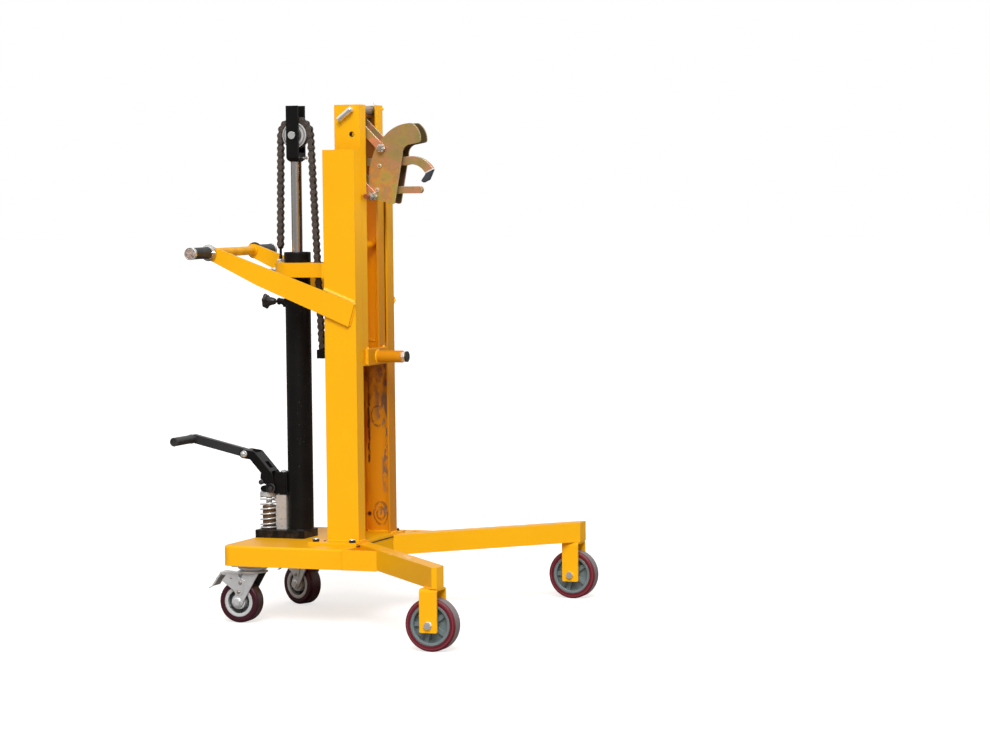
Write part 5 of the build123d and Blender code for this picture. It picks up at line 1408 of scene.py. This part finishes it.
# %% Fork, screws and brake of a caster
AXLE_X, AXLE_Z = -38, 62.5
FORK_PLATE = [
    (-70, 145), (-34.5, 149), (-31, 137.4), (-12.8, 126), (-20, 86), (-40, 84), (-49, 98), (-87, 125)]
PEDAL_TOOTH = [(-118.5, 113.5), (-123, 107.5), (-145, 96), (-144, 98.6)]
AXLE_HEAD = [
    (0, 13.6), (1.4, 13.6), (2.0, 12.8), (2.6, 10.4), (3.6, 10.2), (4.2, 9.4), (4.2, 7.2), (5.4, 6.8),
    (5.8, 5.6)]
upper_dish = turned([(0, 36), (3, 42), (6, 44.5), (9, 43), (10.5, 38)], (0, 0, 157), UPWARD, 44)
lower_dish = turned([(0, 36), (1.4, 43), (3.6, 45), (5.6, 43.6), (6.4, 40)], (0, 0, 148.2), UPWARD, 44)
fork_solids, screw_solids = [lower_dish], []
for face in (-1, 1):
    out = (0, face, 0)
    fork_solids += [
        plate(FORK_PLATE, *sorted((face * 31.6, face * 34.0))),
        turned(AXLE_HEAD, (AXLE_X, face * 31.5, AXLE_Z), out, 36)]
    screw_solids += [
        dome((-26, face * 34, 120.4), out, 6.4, 3.6), dome((-32.6, face * 34, 93), out, 6.0, 3.2),
        dome((-56, face * 34, 134), out, 3.6, 2.2)]
brake_solids = [plate(PEDAL_TOOTH, -5, 5)]
brake_solids += [dome((-111.5, y, 129.5), (-0.818, 0, 0.575), 5.0, 2.6) for y in (-13, 13)]
print("caster solids:", len(fork_solids), "on the fork and", len(brake_solids), "on the brake")

# %% [markdown]
# The caster's hub has a pale rim and boss, and between them a recess with six ribs, darkened as painted
# shade. The recess could be cut out of the hub, but the CAD hub stays as it is. So rim, boss and the floor
# of the recess are turned rings, and a rib is a small plate, turned to its own angle by a loop.

# %% Hub of a caster
HUB_RIM = [(20.5, 34.5), (20.5, 45.0), (22.2, 45.0), (23.5, 43.4), (23.5, 36.6), (22.4, 34.5)]
HUB_BOSS = [(7.0, 15.0), (7.0, 22.6), (23.4, 21.6), (24.2, 20.4), (24.2, 17.4), (22.6, 15.0)]
HUB_FLOOR = [(6.1, 16.5), (6.1, 37.2), (7.0, 37.2), (7.0, 16.5)]
HUB_RIB = [(21.0, -1.6), (37.4, -1.6), (37.4, 1.6), (21.0, 1.6)]
axle = (AXLE_X, 0, AXLE_Z)
hub_solids, recess_solids = [], []
for face in (-1, 1):
    out = (0, face, 0)
    hub_solids += [turned(HUB_RIM, axle, out, 48, True), turned(HUB_BOSS, axle, out, 40, True)]
    recess_solids.append(turned(HUB_FLOOR, axle, out, 48, True))
    for step in range(6):
        angle = math.radians(30 + 60 * step)
        cosine, sine = math.cos(angle), math.sin(angle)
        rib = [(AXLE_X + a * cosine - b * sine, AXLE_Z + a * sine + b * cosine) for a, b in HUB_RIB]
        recess_solids.append(plate(rib, *sorted((face * 7.0, face * 14.0))))
print("hub solids:", len(hub_solids), "pale and", len(recess_solids), "dark")

# %% [markdown]
# Now the drawn caster is put under each rear corner of the base. The right one points straight back and
# the left one is turned a little, as the photograph shows them. Race, fork, brake and wheel move
# differently, so each is a piece on its own body.

# %% Put both casters in place
CASTER_X, CASTER_Y = -264, 205
CASTERS = (("right", -1, 0.0), ("left", 1, math.radians(-22)))


def at_caster(solids, side, spin):
    """Solids drawn about the king pin, taken to their place on the machine."""
    taken = []
    for points, faces in solids:
        there = []
        for x, y, z in points:
            there.append((
                CASTER_X + x * math.cos(spin) - y * math.sin(spin),
                CASTER_Y * side + x * math.sin(spin) + y * math.cos(spin), z))
        taken.append((there, faces))
    return taken


screw_grey = finish(
    "screw_grey", (0.36, 0.33, 0.30), (0.22, 0.19, 0.17), (0.7, 0.7, 0.7), cloud_scale=60.0, metallic=0.5,
    roughness=0.35, radius=0.0008, grain_depth=0.05)
for name, side, spin in CASTERS:
    for suffix, solids, material, slot, body in (
            ("_race_dish", [upper_dish], zinc, "zinc_steel", "chassis"),
            ("_fork_trim", fork_solids, zinc, "zinc_steel", name + "_caster"),
            ("_fork_screws", screw_solids, screw_grey, "zinc_steel", name + "_caster"),
            ("_pedal_trim", brake_solids, zinc, "zinc_steel", name + "_brake"),
            ("_hub_rim", hub_solids, hub_pale, "pale_hub", name + "_caster_wheel"),
            ("_hub_recess", recess_solids, hub_shade, "hub_grey", name + "_caster_wheel")):
        piece(name + suffix, at_caster(solids, side, spin), material, body)
    print(name, "caster is turned by", round(math.degrees(spin)), "degrees")

# %% [markdown]
# The insides of the forks are darkened nearly to black as painted shade. They could be second materials
# on the inner faces, but a fork is one mesh. Its inside is all that lies between its legs, so the mask is
# the distance from the fork's own middle plane. The corner between the brake's plate and the leg is
# darkened as painted shade too.

# %% Painted shade inside the forks
CORNER_X = -29.0


def from_pin(tree, place, side, share_x, share_y):
    """Distance from a caster's king pin along a level direction."""
    away_x = math_node(tree, "SUBTRACT", place["X"], CASTER_X)
    away_y = math_node(tree, "SUBTRACT", place["Y"], CASTER_Y * side)
    return math_node(
        tree, "ADD", math_node(tree, "MULTIPLY", away_x, share_x),
        math_node(tree, "MULTIPLY", away_y, share_y))


for name, side, spin in CASTERS:
    shaded, tree, place = another(zinc, name + "_fork_zinc")
    from_middle = size_of(tree, from_pin(tree, place, side, -math.sin(spin), math.cos(spin)))
    within = all_of(
        tree, ramp_node(tree, from_middle, 28.2, 27.6), ramp_node(tree, place["Z"], 150.5, 149.0))
    # Painted shade inside the fork.
    overlay(shaded, within, (0.018, 0.018, 0.022), 0.93)
    along = from_pin(tree, place, side, math.cos(spin), math.sin(spin))
    from_corner = size_of(tree, math_node(tree, "SUBTRACT", along, CORNER_X))
    corner = all_of(
        tree, ramp_node(tree, from_corner, 6.5, 5.0), band(tree, place["Z"], 136.5, 138.5, 148.4, 149.4))
    # Painted shade in the corner by the brake's plate.
    overlay(shaded, corner, (0.014, 0.014, 0.018), 0.95)
    dress(shaded, name + "_caster_fork")
    print("greasy inside:", shaded.name)

# %% [markdown]
# ## Front hubs
# The front hubs are plastic mouldings with a raised lip round each face, where the tyre is cast on. The
# lip is a turned ring, because the CAD hub is flat there, and it rolls with its wheel.

# %% Hub lips
HUB_LIP = [(19.6, 51.0), (19.6, 58.4), (20.6, 58.4), (21.4, 57.4), (21.4, 53.0), (20.6, 51.0)]
for name, side in (("right", -1), ("left", 1)):
    lips = [turned(HUB_LIP, (FRONT_X, side * FRONT_Y, FRONT_Z), (0, face, 0), 64, True) for face in (-1, 1)]
    piece(name + "_hub_lip", lips, hub_grey, name + "_front_wheel")
    print(name, "hub lip rings:", len(lips))

# %% [markdown]
# ## Gripper hardware
# The upper pivot of the beak is held by slotted nuts with split pins, so it can't work loose, and the
# lower one by plain nuts on a long bolt. The slots could be cut out, but lobes on a short turned crown
# look the same at this size. The jaws turn on domed rivets.

# %% Slotted nuts, studs and rivets
nut_zinc = finish(
    "nut_zinc", (0.42, 0.39, 0.33), (0.20, 0.17, 0.13), (1.0, 1.0, 0.98), cloud_scale=90.0, metallic=0.6,
    roughness=0.26, edge_amount=0.7, radius=0.0008, grain_depth=0.03)
nut_solids, rivet_solids = [], []
for side in (-1, 1):
    out = (0, side, 0)
    split_pin = [
        (77, side * 42.6, 1387), (83, side * 42.8, 1389.4), (97, side * 42.8, 1394.6),
        (101, side * 41.6, 1399)]
    nut_solids += [
        hexagon((90, side * 33.7, 1392), out, 12.6, 5.6),
        turned([(0, 10.0), (5.0, 10.0), (5.6, 9.2)], (90, side * 39.2, 1392), out, 48, lobes=6, depth=0.42),
        wire(split_pin, 1.4),
        hexagon((64, side * 33.8, 1251), out, 12.6, 8.4)]
    rivet_solids += [
        dome((82, side * 26.9, 1340), out, 7.4, 4.2), dome((73, side * 26.9, 1269), out, 6.8, 3.8)]
NEAR = (0, -1, 0)
nut_solids += [washer((64, -52, 1251), NEAR, 12.4, 2.0), hexagon((64, -54, 1251), NEAR, 12.0, 10.0)]
piece("gripper_nuts", nut_solids, nut_zinc, "gripper")
piece("gripper_rivets", rivet_solids, gold_plate, "gripper")
print("gripper hardware:", len(nut_solids), "nuts and pins,", len(rivet_solids), "rivets")

# %% [markdown]
# The height pin runs in a grey sleeve across the head, and a bent wire clip stands at its far end. The
# sleeve could be a plain bar, but the pin has to slide out of it, so it is a turned ring with a flange.
# The clip is two short wires.

# %% Sleeve and clip of the height pin
clip_legs = [
    [(20, 84, 1512), (19.4, 84, 1521), (16.4, 84, 1530)],
    [(27, 84, 1512), (26.6, 84, 1521), (24.0, 84, 1526)]]
piece("pin_clip", [wire(leg, 1.1) for leg in clip_legs], bright_zinc, "carriage")
sleeve = [(-64, 8.4), (-64, 12.4), (62, 12.4), (62, 14.6), (66, 14.6), (66, 8.4)]
piece("pin_sleeve", [turned(sleeve, (20, 0, 1505), ACROSS, 32, True)], screw_grey, "carriage")
print("clip legs:", len(clip_legs))

# %% [markdown]
# ## Pump lever
# The lever folds at a bright bolt, turns on a black boss beside its bracket, and ends in a rubber grip
# with a rolled lip. A small cheek plate is welded where the socket is bent. They are turned pieces and a
# plate like the others, but the grip's end rides on the folding arm and the rest on the socket.

# %% Lever bolts and grip end
FOLD_X, FOLD_Z, GRIP_X, GRIP_Z = -372, 481.3, -551, 522.3
fold_bolt = [
    washer((FOLD_X, -30.0, FOLD_Z), NEAR, 10.6, 1.4), hexagon((FOLD_X, -31.2, FOLD_Z), NEAR, 10.2, 6.4),
    dome((FOLD_X, -37.4, FOLD_Z), NEAR, 5.6, 2.2)]
piece("lever_bolts", fold_bolt, bright_zinc, "lever_fork")
boss = [
    (0, 13.4), (0.8, 14.2), (3.0, 14.2), (3.6, 13.2), (3.6, 10.4), (2.4, 9.8), (2.4, 7.6), (6.4, 7.2),
    (7.2, 6.2)]
roller_end = [(0, 6.6), (10.5, 6.6), (11.4, 7.6), (16.4, 7.6), (17.2, 6.4)]
bosses = [turned(boss, (-284, -30.0, 380), NEAR, 36), turned(roller_end, (-315.5, -18, 398), NEAR, 24)]
piece("lever_boss", bosses, lever_paint, "lever_fork")
cheek = [(-317.4, 425), (-318.7, 409), (-312, 400), (-303, 391), (-296, 400), (-300, 420)]
piece("lever_cheek", [plate(cheek, -31.0, -29.9)], black_paint, "lever_fork")
lip = [(0, 11.2), (0.6, 13.2), (2.4, 13.6), (4.0, 12.6), (4.2, 8.6), (2.0, 7.6), (0, 7.6)]
grip_ends = [
    turned(lip, (GRIP_X, -136.5, GRIP_Z), NEAR, 32, True),
    turned([(0, 13.6), (2, 14.2), (6, 14.2), (8, 13.4)], (GRIP_X, -20.5, GRIP_Z), NEAR, 32)]
piece("lever_grip_end", grip_ends, rubber, "folding_arm")
print("lever trim:", len(fold_bolt), len(bosses), len(grip_ends))
